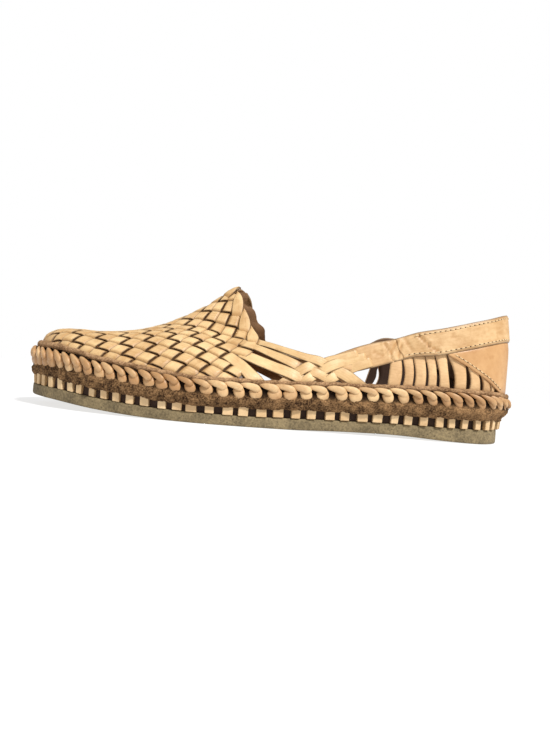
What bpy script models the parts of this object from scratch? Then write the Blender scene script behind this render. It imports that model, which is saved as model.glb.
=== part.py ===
"""Woven leather flat, left shoe, modelled in its own frame.

Toe towards -X, heel towards +X, lateral side -Y, medial side +Y, floor at Z = 0.
The tables are in millimetres; MM turns them into metres when a mesh is made.
"""
import math

import bmesh
import bpy
import numpy as np
from mathutils import Vector

MM = 0.001
LATERAL = 1.0
MEDIAL = -1.0

# Sole outline: distance along the shoe, and how far each side lies from the long axis.
#  x, lateral, medial
SOLE_ROWS = (
    (-125.0, 14.0, 22.0),
    (-115.0, 26.0, 30.0),
    (-100.0, 35.0, 37.0),
    (-80.0, 42.0, 42.0),
    (-55.0, 46.0, 44.5),
    (-30.0, 46.5, 41.5),
    (0.0, 42.0, 34.0),
    (30.0, 36.0, 29.0),
    (60.0, 32.5, 29.0),
    (90.0, 31.0, 30.5),
    (110.0, 25.0, 26.0),
    (120.0, 15.0, 17.0),
)
TOE_TIP = (-131.0, 6.0)
HEEL_END = (124.0, 1.0)

# Heights of the layers round the side, and how far the upper's foot stands
# outside the sole's edge.
#  x, rise, outsole top, tab top, braid foot, braid top, rand top, flare
LEVEL_ROWS = (
    (-131.0, 5.6, 11.0, 16.0, 21.6, 30.4, 33.6, -2.4),
    (-109.0, 4.3, 9.9, 14.6, 19.8, 28.8, 31.6, -2.0),
    (-85.0, 2.0, 7.5, 11.8, 16.8, 24.7, 27.2, -1.5),
    (-59.0, 0.4, 5.6, 9.6, 14.0, 21.8, 23.8, -1.0),
    (-35.0, 0.0, 5.0, 8.6, 12.8, 20.1, 21.9, -0.6),
    (-11.0, 0.0, 5.0, 8.9, 12.9, 20.1, 22.0, -0.3),
    (13.0, 0.2, 5.6, 9.9, 14.3, 21.3, 23.2, 0.0),
    (38.0, 1.0, 6.3, 10.6, 15.6, 22.8, 24.6, 0.4),
    (63.0, 1.3, 6.8, 11.2, 16.6, 23.8, 25.6, 0.8),
    (88.0, 0.4, 7.1, 11.8, 17.3, 24.5, 26.4, 1.4),
    (108.0, 0.0, 7.2, 12.0, 17.6, 24.5, 26.4, 2.0),
    (124.0, 0.0, 7.4, 12.2, 17.0, 23.5, 25.6, 2.5),
)
RISE, SOLE_TOP, TAB_TOP, BRAID_FOOT, BRAID_TOP, RAND_TOP, FLARE = range(7)

# Form of the last above the rand: a dome, and a narrow ridge that stands up from
# it towards the throat. Crown and dome are heights over the floor and the rand,
# spine is where the crown lies across the shoe, and square shapes the dome's
# section (2 is a parabola).
#  x, crown, dome, spine, square
LAST_ROWS = (
    (-95.0, 39.8, 11.4, 4.5, 4.0),
    (-80.0, 42.8, 15.6, 4.0, 3.2),
    (-67.0, 46.7, 20.0, 3.5, 2.7),
    (-54.5, 52.4, 23.5, 3.0, 2.4),
    (-42.0, 59.7, 25.0, 3.0, 2.5),
    (-23.6, 72.2, 23.5, 3.0, 2.5),
    (0.0, 72.2, 28.0, 1.5, 2.4),
    (25.0, 72.2, 60.0, 0.0, 2.2),
    (57.0, 72.2, 120.0, -0.5, 2.0),
    (92.0, 72.2, 165.0, 0.0, 2.0),
)
CROWN, DOME, SPINE, SQUARE = range(4)
RIDGE_WIDTH = 10.0
TOE_X = LAST_ROWS[0][0]
TOE_SQUARE = 8.5
SECTION_STEPS = 33
HEM_INSET = -1.8


def smooth_rows(rows, column, x):
    """Smooth value of one column of a table at x, held level past its ends."""
    xs = [row[0] for row in rows]
    ys = [row[column + 1] for row in rows]
    x = min(max(x, xs[0]), xs[-1])
    k = min(max(np.searchsorted(xs, x) - 1, 0), len(xs) - 2)
    span = xs[k + 1] - xs[k]
    t = (x - xs[k]) / span
    slopes = np.gradient(ys, xs)
    a = ys[k] * (1 + 2 * t) * (1 - t) ** 2 + ys[k + 1] * t * t * (3 - 2 * t)
    b = slopes[k] * t * (1 - t) ** 2 - slopes[k + 1] * t * t * (1 - t)
    return a + b * span


def level(column, x):
    value = smooth_rows(LEVEL_ROWS, column, x)
    return max(value, 0.0) if column == RISE else value


def closed_curve(points, steps=40):
    """Closed Catmull-Rom curve through the points, spaced by chord length."""
    points = np.array(points)
    count = len(points)
    out = []
    for i in range(count):
        p = [points[(i + k) % count] for k in (-1, 0, 1, 2)]
        t = [0.0]
        for a, b in zip(p, p[1:]):
            t.append(t[-1] + math.sqrt(np.linalg.norm(b - a)))
        for s in np.linspace(t[1], t[2], steps, endpoint=False):
            q = [((t[k + 1] - s) * p[k] + (s - t[k]) * p[k + 1]) / (t[k + 1] - t[k])
                 for k in range(3)]
            r = [((t[k + 2] - s) * q[k] + (s - t[k]) * q[k + 1]) / (t[k + 2] - t[k])
                 for k in range(2)]
            out.append(((t[2] - s) * r[0] + (s - t[1]) * r[1]) / (t[2] - t[1]))
    return np.array(out)


class Outline:
    """The sole's edge as a closed curve, read by length from the toe tip,
    along the lateral side to the heel and back along the medial side."""

    def __init__(self):
        knots = [TOE_TIP]
        knots += [(x, -lateral) for x, lateral, _ in SOLE_ROWS]
        knots += [HEEL_END]
        knots += [(x, medial) for x, _, medial in reversed(SOLE_ROWS)]
        curve = closed_curve(knots)
        closed = np.vstack([curve, curve[:1]])
        steps = np.linalg.norm(np.diff(closed, axis=0), axis=1)
        self.lengths = np.concatenate([[0.0], np.cumsum(steps)])
        self.total = self.lengths[-1]
        self.points = closed
        tangent = np.roll(curve, -1, axis=0) - np.roll(curve, 1, axis=0)
        tangent /= np.linalg.norm(tangent, axis=1)[:, None]
        normal = np.stack([tangent[:, 1], -tangent[:, 0]], axis=1)
        self.normals = np.vstack([normal, normal[:1]])
        flares = np.array([level(FLARE, x) for x in closed[:, 0]])
        self.foot = closed + self.normals * flares[:, None]
        self.toe_end = int(np.argmin(self.foot[:, 0]))
        self.heel_end = int(np.argmax(self.foot[:, 0]))

    def at(self, a):
        """Sole edge point, outward normal and foot point at length a."""
        a = a % self.total
        pick = lambda table: np.array([np.interp(a, self.lengths, table[:, k]) for k in (0, 1)])
        normal = pick(self.normals)
        return pick(self.points), normal / np.linalg.norm(normal), pick(self.foot)


OUTLINE = Outline()


def side_length(side, x):
    """Length along the outline at which the upper's foot passes x on one side."""
    count = len(OUTLINE.lengths) - 1
    if side > 0:
        index = np.arange(OUTLINE.toe_end, OUTLINE.heel_end + 1)
    else:
        index = np.arange(OUTLINE.heel_end, OUTLINE.toe_end + count + 1)[::-1]
    lengths = OUTLINE.lengths[index % count] + (index // count) * OUTLINE.total
    return np.interp(x, OUTLINE.foot[index % count, 0], lengths)


def spine_point(x):
    x = min(max(x, LAST_ROWS[0][0]), LAST_ROWS[-1][0])
    return np.array([x, smooth_rows(LAST_ROWS, SPINE, x)])


def dome(foot):
    """Spine point, dome height and squareness over one foot point."""
    centre = spine_point(foot[0])
    height = smooth_rows(LAST_ROWS, DOME, centre[0])
    height += level(RAND_TOP, centre[0]) - level(RAND_TOP, foot[0])
    square = smooth_rows(LAST_ROWS, SQUARE, centre[0])
    ahead = max(TOE_X - foot[0], 0.0) / (TOE_X - TOE_TIP[0])
    return centre, height, square + (TOE_SQUARE - square) * ahead


def ridge(centre, dome_top, reach):
    """Height of the ridge over the dome at a distance from the spine."""
    return (smooth_rows(LAST_ROWS, CROWN, centre[0]) - dome_top) * np.exp(-(reach / RIDGE_WIDTH) ** 2)


def wall_point(a, z):
    """Point of the upper's outer skin over length a of the outline, at height z."""
    edge, normal, foot = OUTLINE.at(a)
    top = level(RAND_TOP, foot[0])
    if z < top:
        drop = (top - z) / (top - level(TAB_TOP, foot[0]))
        plan = foot + (edge + normal * HEM_INSET - foot) * drop
    else:
        centre, height, square = dome(foot)
        plan = centre + (foot - centre) * max(1 - (z - top) / height, 0.0) ** (1 / square)
    return np.array([plan[0], plan[1], z])


def toe_fan():
    """Angles seen from the toe's centre, 0 ahead, and the outline's lengths there."""
    centre = spine_point(TOE_X)
    lateral = np.linspace(0.0, side_length(LATERAL, TOE_X + 4.0), 60)
    medial = np.linspace(side_length(MEDIAL, TOE_X + 4.0) - OUTLINE.total, 0.0, 60)
    lengths = np.concatenate([medial[:-1], lateral])
    feet = np.array([OUTLINE.at(a)[2] for a in lengths]) - centre
    return np.arctan2(-feet[:, 1], -feet[:, 0]), lengths


TOE_FAN = toe_fan()


def vamp_section(x, s):
    """Outline length, run from the spine, and the plain dome's section there.
    Ahead of the toe's centre (x, s) is polar about it."""
    if x >= TOE_X:
        a = side_length(LATERAL if s >= 0 else MEDIAL, x)
        run = abs(s)
    else:
        a = np.interp(math.atan2(s, TOE_X - x), *TOE_FAN)
        run = math.hypot(s, TOE_X - x)
    foot = OUTLINE.at(a)[2]
    centre, height, square = dome(foot)
    f = np.linspace(0.0, 1.0, SECTION_STEPS)
    plan = centre + np.outer(f, foot - centre)
    z = level(RAND_TOP, foot[0]) + height * (1 - f ** square)
    steps = np.hypot(np.linalg.norm(np.diff(plan, axis=0), axis=1), np.diff(z))
    return a, run, centre, plan, z, np.concatenate([[0.0], np.cumsum(steps)])


def vamp_room(x, s):
    """Length of dome left between a place on the vamp and the rand's top."""
    _, run, _, _, _, lengths = vamp_section(x, s)
    return lengths[-1] - run


def vamp_point(x, s):
    """Point of the vamp's skin at x along the shoe and length s down the plain
    dome, s positive on the lateral side, with the ridge standing up from it."""
    a, run, centre, plan, z, lengths = vamp_section(x, s)
    if run > lengths[-1]:
        return wall_point(a, z[-1] - (run - lengths[-1]))
    z = z + ridge(centre, z[0], np.linalg.norm(plan - centre, axis=1))
    return np.array([np.interp(run, lengths, column) for column in (*plan.T, z)])


def skin_normal(point_at, u, v, step=0.6):
    """Outward normal of a skin function by differences, for u towards the heel
    or round the outline and v downwards."""
    along = point_at(u + step, v) - point_at(u - step, v)
    down = point_at(u, v + step) - point_at(u, v - step)
    normal = np.cross(down, along)
    return normal / np.linalg.norm(normal)


# ---- meshes ----
PITCHES = 72
TAB_WIDTH = 5.2
TAB_PROUD = 1.2
MIDSOLE_INSET = 1.4
INSOLE_INSET = 5.0
INSOLE_THICK = 2.0
GAP = 0.3
WALL = 1.8
RAND_IN = 0.75
BRAID_IN = 2.85
BRAID_OUT = 5.4

# Weave: one lattice in (x, s). F strips run along F_STEP, R strips along R_STEP,
# and lattice node (0, 0) lies at WEAVE_START.
WEAVE_START = np.array([-73.8, 47.0])
F_STEP = np.array([7.0, 2.7])
R_STEP = np.array([3.9, -5.8])
STRIP_RISE = 0.8
STRIP_SIDE = 0.13
STRIP_END = 0.03
STRIP_FADE = 4.0
VAMP_TUCK = 4.5

# Rear edge of the woven vamp, by distance down from the ridge, lateral positive.
#  s, x
THROAT_ROWS = (
    (-62.0, 1.0),
    (-54.0, -4.0),
    (-48.0, -9.0),
    (-42.0, -13.5),
    (-36.0, -10.0),
    (-30.0, -6.0),
    (-24.0, -6.5),
    (-18.0, -9.5),
    (-12.0, -13.5),
    (-6.0, -18.5),
    (0.0, -22.6),
    (6.0, -20.2),
    (12.0, -16.0),
    (18.0, -12.0),
    (24.0, -8.5),
    (30.0, -8.0),
    (36.0, -12.0),
    (42.0, -15.5),
    (48.0, -11.0),
    (54.0, -6.0),
    (62.0, -1.0),
)
THROAT_MARGIN = 1.5

# Straps and fingers, the same on both sides: centre line and width.
#  x, z, width
STRAPS = (
    ((-15.0, 43.4, 2.6), (-7.7, 41.3, 2.8), (6.7, 37.7, 3.2), (21.7, 34.0, 4.6),
     (29.3, 30.9, 5.6), (36.9, 27.2, 5.8), (48.0, 20.5, 5.2)),
    ((-19.0, 41.0, 2.8), (-11.0, 38.7, 2.8), (-0.6, 35.4, 3.8), (9.9, 31.6, 4.6),
     (19.6, 28.4, 4.6), (27.1, 25.6, 4.6), (38.0, 19.5, 4.6)),
    ((-20.0, 35.2, 4.0), (-10.0, 32.6, 4.4), (0.0, 29.3, 5.0), (11.0, 25.7, 5.2),
     (18.0, 22.8, 5.0), (27.0, 18.0, 5.0)),
)
STRAP_FACES = (0.6, -0.6)
FINGERS = (
    ((38.0, 38.4, 5.0), (31.0, 36.0, 5.0), (22.6, 33.3, 5.0), (14.6, 30.2, 5.0),
     (9.1, 26.2, 4.8), (4.5, 22.2, 4.6), (0.5, 18.0, 4.6)),
    ((42.0, 37.8, 5.2), (34.0, 35.0, 5.2), (25.5, 31.4, 5.0), (21.0, 28.4, 5.0),
     (16.4, 25.2, 4.8), (12.6, 22.0, 4.6), (8.5, 18.0, 4.6)),
    ((45.0, 35.6, 5.2), (38.0, 32.8, 5.0), (31.9, 29.2, 4.8), (27.6, 26.1, 4.8),
     (23.9, 22.8, 4.6), (19.0, 18.0, 4.6)),
)
FINGER_FACES = (-0.1, -1.3)
STAGGER = 0.12

# Collar band: its top and bottom edges.
#  x, top, bottom
BAND_ROWS = (
    (25.0, 36.2, 33.2),
    (31.0, 39.2, 31.6),
    (38.0, 42.4, 30.6),
    (47.0, 45.9, 33.1),
    (60.0, 50.6, 37.7),
    (67.0, 52.4, 40.0),
    (80.0, 55.4, 42.1),
    (95.0, 59.7, 46.2),
    (107.0, 63.0, 49.6),
    (118.0, 66.4, 52.4),
    (127.0, 68.6, 54.0),
)
BAND_TOP, BAND_FOOT = range(2)
BAND_START = 26.0
SEAM_X = 61.0
BAND_FACES = (0.3, -1.5)
QUARTER_START = 56.4
QUARTER_COLUMNS = 44
BAND_COLUMNS = 8
STRIP_STEP = 6.0
OVERLAY_FACES = (1.8, 0.4)

# Slots in the quarter: x and z of their top and foot, and width there.
#  top x, top z, foot x, foot z, top width, foot width
SLOT_ROWS = (
    (62.4, 38.4, 62.2, 24.0, 0.8, 1.0),
    (67.6, 40.0, 68.2, 24.0, 0.6, 0.8),
    (73.4, 41.2, 74.5, 24.0, 0.7, 1.2),
    (78.3, 42.0, 80.4, 24.0, 0.8, 1.8),
    (83.7, 42.6, 88.2, 24.2, 0.9, 2.6),
    (94.4, 38.0, 95.8, 24.2, 2.4, 2.4),
    (102.5, 34.6, 103.8, 24.2, 2.2, 2.0),
    (109.2, 31.0, 110.0, 24.2, 1.4, 1.2),
)

# Front edge of the heel counter.
#  x, z
COUNTER_ROWS = ((84.0, 43.0), (96.0, 37.3), (108.0, 31.3), (118.0, 25.4))

MATERIALS = {
    # name: (colour, roughness)
    "crepe": ((0.25, 0.22, 0.13), 0.85),
    "dark_leather": ((0.10, 0.05, 0.03), 0.7),
    "suede": ((0.20, 0.10, 0.04), 0.95),
    "tan_leather": ((0.78, 0.52, 0.28), 0.55),
    "counter_leather": ((0.70, 0.40, 0.18), 0.5),
}


def edge_point(a, outset):
    """Plan point at a distance outside the sole's edge."""
    edge, normal, _ = OUTLINE.at(a)
    return edge + normal * outset


def skin_point(a, z, out):
    """Point of the wall at length a and height z, moved out along its normal."""
    normal = skin_normal(wall_point_down, a, -z)
    return wall_point(a, z) + normal * out


def wall_point_down(a, down):
    return wall_point(a, -down)


def side_skin(side, x, z, out):
    """Point over x on one side, lifted with the ridge where the wall nears it."""
    a = side_length(side, x)
    point = skin_point(a, z, out)
    foot = OUTLINE.at(a)[2]
    centre, height, _ = dome(foot)
    lift = ridge(centre, level(RAND_TOP, foot[0]) + height, np.linalg.norm(point[:2] - centre))
    return point + np.array([0.0, 0.0, lift])


def add_material(name):
    colour, roughness = MATERIALS[name]
    material = bpy.data.materials.new(name)
    material.use_nodes = True
    shader = material.node_tree.nodes["Principled BSDF"]
    shader.inputs["Base Color"].default_value = (*colour, 1.0)
    shader.inputs["Roughness"].default_value = roughness
    material.diffuse_color = (*colour, 1.0)
    return material


def finish_object(name, bm, collection, material=None):
    """Turn a bmesh in millimetres into an object in metres."""
    bmesh.ops.recalc_face_normals(bm, faces=bm.faces)
    bmesh.ops.scale(bm, vec=Vector((MM, MM, MM)), verts=bm.verts)
    mesh = bpy.data.meshes.new(name)
    bm.to_mesh(mesh)
    bm.free()
    item = bpy.data.objects.new(name, mesh)
    collection.objects.link(item)
    if material:
        mesh.materials.append(material)
    return item


def add_rings(bm, rings, loop_across):
    """Skin a list of equal rows of points with quads. Each row is closed, and the
    rows close on each other too when loop_across is set; otherwise the first and
    last row are capped, each pair of points facing each other across the row."""
    rows = [[bm.verts.new(p) for p in ring] for ring in rings]
    count = len(rows[0])
    pairs = list(zip(rows, rows[1:]))
    if loop_across:
        pairs.append((rows[-1], rows[0]))
    for low, high in pairs:
        for i in range(count):
            k = (i + 1) % count
            bm.faces.new((low[i], low[k], high[k], high[i]))
    if not loop_across:
        for row in (rows[0], rows[-1]):
            add_cap(bm, row)


def add_cap(bm, row):
    """Close a ring with cross faces between points that face each other."""
    count = len(row)
    half = count // 2
    bm.faces.new((row[0], row[1], row[count - 1]))
    for i in range(1, half - 1):
        bm.faces.new((row[i], row[i + 1], row[count - i - 1], row[count - i]))
    bm.faces.new((row[half - 1], row[half], row[half + 1]))


def facing_lengths(steps):
    """Outline lengths of points that face each other at equal x, tip first."""
    tip, heel = TOE_TIP[0] + 0.02, HEEL_END[0] - 0.02
    count = len(OUTLINE.lengths) - 1
    turn = int(np.argmax(OUTLINE.points[:count, 0]))
    lateral_x = OUTLINE.points[:turn + 1, 0]
    medial_x = OUTLINE.points[turn:, 0][::-1]
    xs = [tip + (heel - tip) * (1 - math.cos(math.pi * k / steps)) / 2 for k in range(1, steps)]
    lateral = [np.interp(x, lateral_x, OUTLINE.lengths[:turn + 1]) for x in xs]
    medial = [np.interp(x, medial_x, OUTLINE.lengths[turn:][::-1]) for x in xs]
    return [0.0] + lateral + [OUTLINE.lengths[turn]] + medial[::-1]


def add_slab(bm, lengths, layers):
    """Slab whose layers are (outset from the sole's edge, height function of x)."""
    rings = []
    for outset, height in layers:
        plan = [edge_point(a, outset) for a in lengths]
        rings.append([(p[0], p[1], height(p[0])) for p in plan])
    add_rings(bm, rings, loop_across=False)


def make_outsole(parts, materials):
    bm = bmesh.new()
    layers = (
        (-0.7, lambda x: level(RISE, x)),
        (0.0, lambda x: level(RISE, x) + 0.7),
        (0.0, lambda x: level(SOLE_TOP, x)),
    )
    add_slab(bm, facing_lengths(34), layers)
    return finish_object("outsole", bm, parts, materials["crepe"])


def make_midsole(parts, cutters, materials):
    bm = bmesh.new()
    layers = (
        (-MIDSOLE_INSET, lambda x: level(SOLE_TOP, x) + GAP),
        (-MIDSOLE_INSET, lambda x: level(TAB_TOP, x)),
    )
    add_slab(bm, facing_lengths(34), layers)
    midsole = finish_object("midsole", bm, parts, materials["dark_leather"])
    tabs = bmesh.new()
    for k in range(PITCHES):
        add_tab(tabs, (k + 0.5) * OUTLINE.total / PITCHES)
    tabs = finish_object("midsole_tabs", tabs, cutters)
    add_boolean(midsole, tabs, "UNION")
    return midsole


def tab_out(x):
    """How far the tabs stand outside the sole's edge."""
    return TAB_PROUD + 0.35 * level(FLARE, x)


def add_tab(bm, a):
    corners = []
    for along in (-TAB_WIDTH / 2, TAB_WIDTH / 2):
        edge, normal, _ = OUTLINE.at(a + along)
        for outset in (-MIDSOLE_INSET - 2.5, tab_out(edge[0])):
            plan = edge + normal * outset
            low = level(SOLE_TOP, plan[0]) + GAP + 0.3
            high = level(TAB_TOP, plan[0]) - 0.3
            corners.append([(*plan, low), (*plan, high)])
    cube = bmesh.ops.create_cube(bm, size=1.0)["verts"]
    for vert in cube:
        side = 2 if vert.co.x > 0 else 0
        depth = 1 if vert.co.y > 0 else 0
        vert.co = corners[side + depth][1 if vert.co.z > 0 else 0]


def add_boolean(item, other, operation, solver="EXACT"):
    other.hide_render = True
    other.display_type = "WIRE"
    modifier = item.modifiers.new(f"{operation.lower()} {other.name}", "BOOLEAN")
    modifier.operation = operation
    modifier.solver = solver
    modifier.object = other


def make_insole(parts, materials):
    bm = bmesh.new()
    layers = (
        (-INSOLE_INSET, lambda x: level(TAB_TOP, x) + GAP),
        (-INSOLE_INSET, lambda x: level(TAB_TOP, x) + GAP + INSOLE_THICK),
    )
    add_slab(bm, facing_lengths(30), layers)
    return finish_object("insole", bm, parts, materials["dark_leather"])


def add_loop_profile(bm, lengths, profile):
    """Closed ring: profile(a) gives the section's points, in order."""
    add_rings(bm, [profile(a) for a in lengths], loop_across=True)


def foot_outset(a, outset, z):
    """Point a given way outside the upper's foot line, level with it."""
    _, normal, foot = OUTLINE.at(a)
    return (*(foot + normal * outset), z)


def rand_profile(a):
    """Section of the suede rand: swelling wall, ledge under the braid, rolled top."""
    edge, _, foot = OUTLINE.at(a)
    x = foot[0]
    base = level(TAB_TOP, x) + GAP
    braid_foot = level(BRAID_FOOT, x) - GAP
    braid_top = level(BRAID_TOP, x) + GAP
    top = level(RAND_TOP, x)
    low = edge_point(a, tab_out(edge[0]) + 0.3)
    high = np.array(foot_outset(a, 4.3, 0.0)[:2])
    middle = (low + high) / 2 + (high - low) * 0.1 + OUTLINE.at(a)[1] * 0.5
    inner = skin_point(a, base, RAND_IN)
    return [
        (inner[0], inner[1], base),
        (*low, base),
        (*middle, (base + braid_foot) / 2),
        foot_outset(a, 4.3, braid_foot),
        foot_outset(a, BRAID_IN - GAP, braid_foot),
        foot_outset(a, BRAID_IN - GAP, braid_top),
        foot_outset(a, BRAID_IN + 0.8, braid_top),
        foot_outset(a, BRAID_IN + 0.6, top - 0.6),
        foot_outset(a, 1.9, top),
        foot_outset(a, RAND_IN, top - 0.7),
    ]


def make_rand(parts, materials):
    bm = bmesh.new()
    columns = PITCHES + PITCHES // 2
    lengths = [k * OUTLINE.total / columns for k in range(columns)]
    add_loop_profile(bm, lengths, rand_profile)
    return finish_object("rand", bm, parts, materials["suede"])


# Braid section through one lump, by phase: how far its top, belly and foot stand
# between the inner face and BRAID_OUT, and how far its foot is lifted.
#  top, belly, foot, lift
BRAID_PHASES = (
    (0.35, 0.30, 0.25, 1.8),
    (0.75, 0.85, 0.70, 0.3),
    (0.80, 1.00, 0.80, 0.0),
)
BRAID_SLANT = 2.4
BRAID_BELLY = 3.2


def braid_point(a, outset, column, lift):
    """Point of the braid, lifted from one of the outline's levels."""
    return foot_outset(a, outset, level(column, OUTLINE.at(a)[2][0]) + lift)


def make_braid(parts, materials):
    bm = bmesh.new()
    pitch = OUTLINE.total / PITCHES
    phases = len(BRAID_PHASES)
    rings = []
    for k in range(PITCHES * phases):
        top, belly, foot, lift = BRAID_PHASES[k % phases]
        a = k * pitch / phases
        depth = BRAID_OUT - BRAID_IN
        rings.append([
            braid_point(a, BRAID_IN, BRAID_FOOT, lift + 0.6),
            braid_point(a + BRAID_SLANT, BRAID_IN + depth * foot, BRAID_FOOT, lift + 0.2),
            braid_point(a, BRAID_IN + depth * belly, BRAID_FOOT, BRAID_BELLY),
            braid_point(a - BRAID_SLANT, BRAID_IN + depth * top, BRAID_TOP, -0.4),
            braid_point(a, BRAID_IN, BRAID_TOP, -0.2),
        ])
    add_rings(bm, rings, loop_across=True)
    return finish_object("braid", bm, parts, materials["tan_leather"])


def weave_place(i, j):
    return WEAVE_START + i * F_STEP + j * R_STEP


def vamp_place(i, j):
    """Lattice place, drawn forward to the throat's edge where it passes it."""
    x, s = weave_place(i, j)
    return min(x, smooth_rows(THROAT_ROWS, 0, s)), s


def in_vamp(i, j):
    """Whether the lattice cell from node (i, j) belongs to the vamp."""
    corners = [weave_place(i + u, j + v) for u in (0, 1) for v in (0, 1)]
    ahead = max(smooth_rows(THROAT_ROWS, 0, s) - x for x, s in corners)
    x, s = weave_place(i + 0.5, j + 0.5)
    return ahead > THROAT_MARGIN and vamp_room(min(x, 0.0), s) > -VAMP_TUCK


def drop_loose_corners(cells):
    """Remove cells until none hangs on to the rest by a corner alone."""
    cells = set(cells)
    while True:
        loose = [c for c in cells if sum(
            n in cells for n in ((c[0] + 1, c[1]), (c[0] - 1, c[1]),
                                 (c[0], c[1] + 1), (c[0], c[1] - 1))) < 2]
        pinched = []
        for i, j in cells:
            for di, dj in ((1, 1), (1, -1)):
                lone = (i + di, j) not in cells and (i, j + dj) not in cells
                if lone and (i + di, j + dj) in cells:
                    pinched.append((i, j))
        if not loose and not pinched:
            return cells
        cells -= set(loose or pinched)


def weave_vertex(bm, i, j, out):
    x, s = vamp_place(i, j)
    point = vamp_point(x, s) + skin_normal(vamp_point, x, s) * out
    return bm.verts.new(point)


def strip_top(i, j):
    """Corners of the raised top of one crossing, longer along the upper strip."""
    f_over = (i + j) % 2 == 0
    du, dv = (STRIP_END, STRIP_SIDE) if f_over else (STRIP_SIDE, STRIP_END)
    return ((i + du, j + dv), (i + 1 - du, j + dv), (i + 1 - du, j + 1 - dv), (i + du, j + 1 - dv))


def make_vamp(parts, materials):
    """Woven vamp: every crossing is a raised patch on one wall."""
    span = range(-20, 22)
    cells = drop_loose_corners((i, j) for i in span for j in span if in_vamp(i, j))
    bm = bmesh.new()
    outer, inner = {}, {}
    for i, j in sorted(cells):
        nodes = ((i, j), (i + 1, j), (i + 1, j + 1), (i, j + 1))
        for node in nodes:
            if node not in outer:
                outer[node] = weave_vertex(bm, *node, 0.0)
                inner[node] = weave_vertex(bm, *node, -WALL)
        low = [outer[node] for node in nodes]
        room = vamp_room(*weave_place(i + 0.5, j + 0.5))
        rise = STRIP_RISE * min(max((room - 1.0) / STRIP_FADE, 0.0), 1.0)
        if rise > 0.1:
            high = [weave_vertex(bm, u, v, rise) for u, v in strip_top(i, j)]
            bm.faces.new(high)
            for k in range(4):
                bm.faces.new((low[k], low[(k + 1) % 4], high[(k + 1) % 4], high[k]))
        else:
            bm.faces.new(low)
        bm.faces.new([inner[node] for node in reversed(nodes)])
        sides = (((i, j - 1), 0, 1), ((i + 1, j), 1, 2), ((i, j + 1), 2, 3), ((i - 1, j), 3, 0))
        for neighbour, k, m in sides:
            if neighbour not in cells:
                a, b = nodes[k], nodes[m]
                bm.faces.new((outer[b], outer[a], inner[a], inner[b]))
    return finish_object("upper", bm, parts, materials["tan_leather"])


def add_strip(bm, side, rows, faces):
    """Strip laid on the wall along its (x, z, width) rows."""
    line = fine_rows(rows, STRIP_STEP)
    steps = np.gradient(line[:, :2], axis=0)
    steps /= np.linalg.norm(steps, axis=1)[:, None]
    rings = []
    for (x, z, width), (step_x, step_z) in zip(line, steps):
        shift_x, shift_z = -step_z * width / 2, step_x * width / 2
        upper, lower = (x + shift_x, z + shift_z), (x - shift_x, z - shift_z)
        rings.append([
            side_skin(side, *upper, faces[0]),
            side_skin(side, *lower, faces[0]),
            side_skin(side, *lower, faces[1]),
            side_skin(side, *upper, faces[1]),
        ])
    add_tube(bm, rings)


def add_tube(bm, rings):
    """Skin rows of points as a tube with flat ends."""
    rows = [[bm.verts.new(p) for p in ring] for ring in rings]
    count = len(rows[0])
    for low, high in zip(rows, rows[1:]):
        for i in range(count):
            k = (i + 1) % count
            bm.faces.new((low[i], low[k], high[k], high[i]))
    bm.faces.new(rows[0])
    bm.faces.new(list(reversed(rows[-1])))


def fine_rows(rows, step):
    """The same rows, smoothly bent, with points about a step apart."""
    rows = np.array(rows)
    runs = np.linalg.norm(np.diff(rows[:, :2], axis=0), axis=1)
    lengths = np.concatenate([[0.0], np.cumsum(runs)])
    table = [(a, *row) for a, row in zip(lengths, rows)]
    places = np.linspace(0.0, lengths[-1], max(int(lengths[-1] / step), 2) + 1)
    columns = range(rows.shape[1])
    return np.array([[smooth_rows(table, k, a) for k in columns] for a in places])


def rear_lengths(start_x, count):
    """Outline lengths from x on the lateral side round the heel to x on the medial."""
    return np.linspace(side_length(LATERAL, start_x), side_length(MEDIAL, start_x), count)


def add_wall(bm, lengths, heights, faces):
    """Wall over stretches of the outline. heights(x) gives its levels upwards."""
    rings = []
    for a in lengths:
        levels = heights(OUTLINE.at(a)[2][0])
        outer = [skin_point(a, z, faces[0]) for z in levels]
        inner = [skin_point(a, z, faces[1]) for z in reversed(levels)]
        rings.append(outer + inner)
    add_tube(bm, rings)


def quarter_heights(x):
    foot = level(TAB_TOP, x) + 2 * GAP
    rand_top = level(RAND_TOP, x)
    top = smooth_rows(BAND_ROWS, BAND_TOP, x) - 0.4
    return (foot, rand_top, (rand_top + top) / 2, top)


def band_heights(x):
    top = smooth_rows(BAND_ROWS, BAND_TOP, x)
    foot = smooth_rows(BAND_ROWS, BAND_FOOT, x)
    return (foot, (top + foot) / 2, top)


def counter_heights(x):
    front = np.interp(x, *zip(*COUNTER_ROWS))
    low = max(front, level(RAND_TOP, x) + GAP)
    high = smooth_rows(BAND_ROWS, BAND_FOOT, x) - GAP
    return (low, (low + high) / 2, high)


def add_slot(bm, side, row):
    """Tapered prism through the quarter where one slot is cut."""
    top_x, top_z, foot_x, foot_z, top_width, foot_width = row
    cube = bmesh.ops.create_cube(bm, size=1.0)["verts"]
    for vert in cube:
        up = vert.co.z > 0
        x, z, width = (top_x, top_z, top_width) if up else (foot_x, foot_z, foot_width)
        x += math.copysign(width / 2, vert.co.x)
        out = math.copysign(WALL + 1.5, vert.co.y)
        vert.co = side_skin(side, x, z, out)


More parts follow.
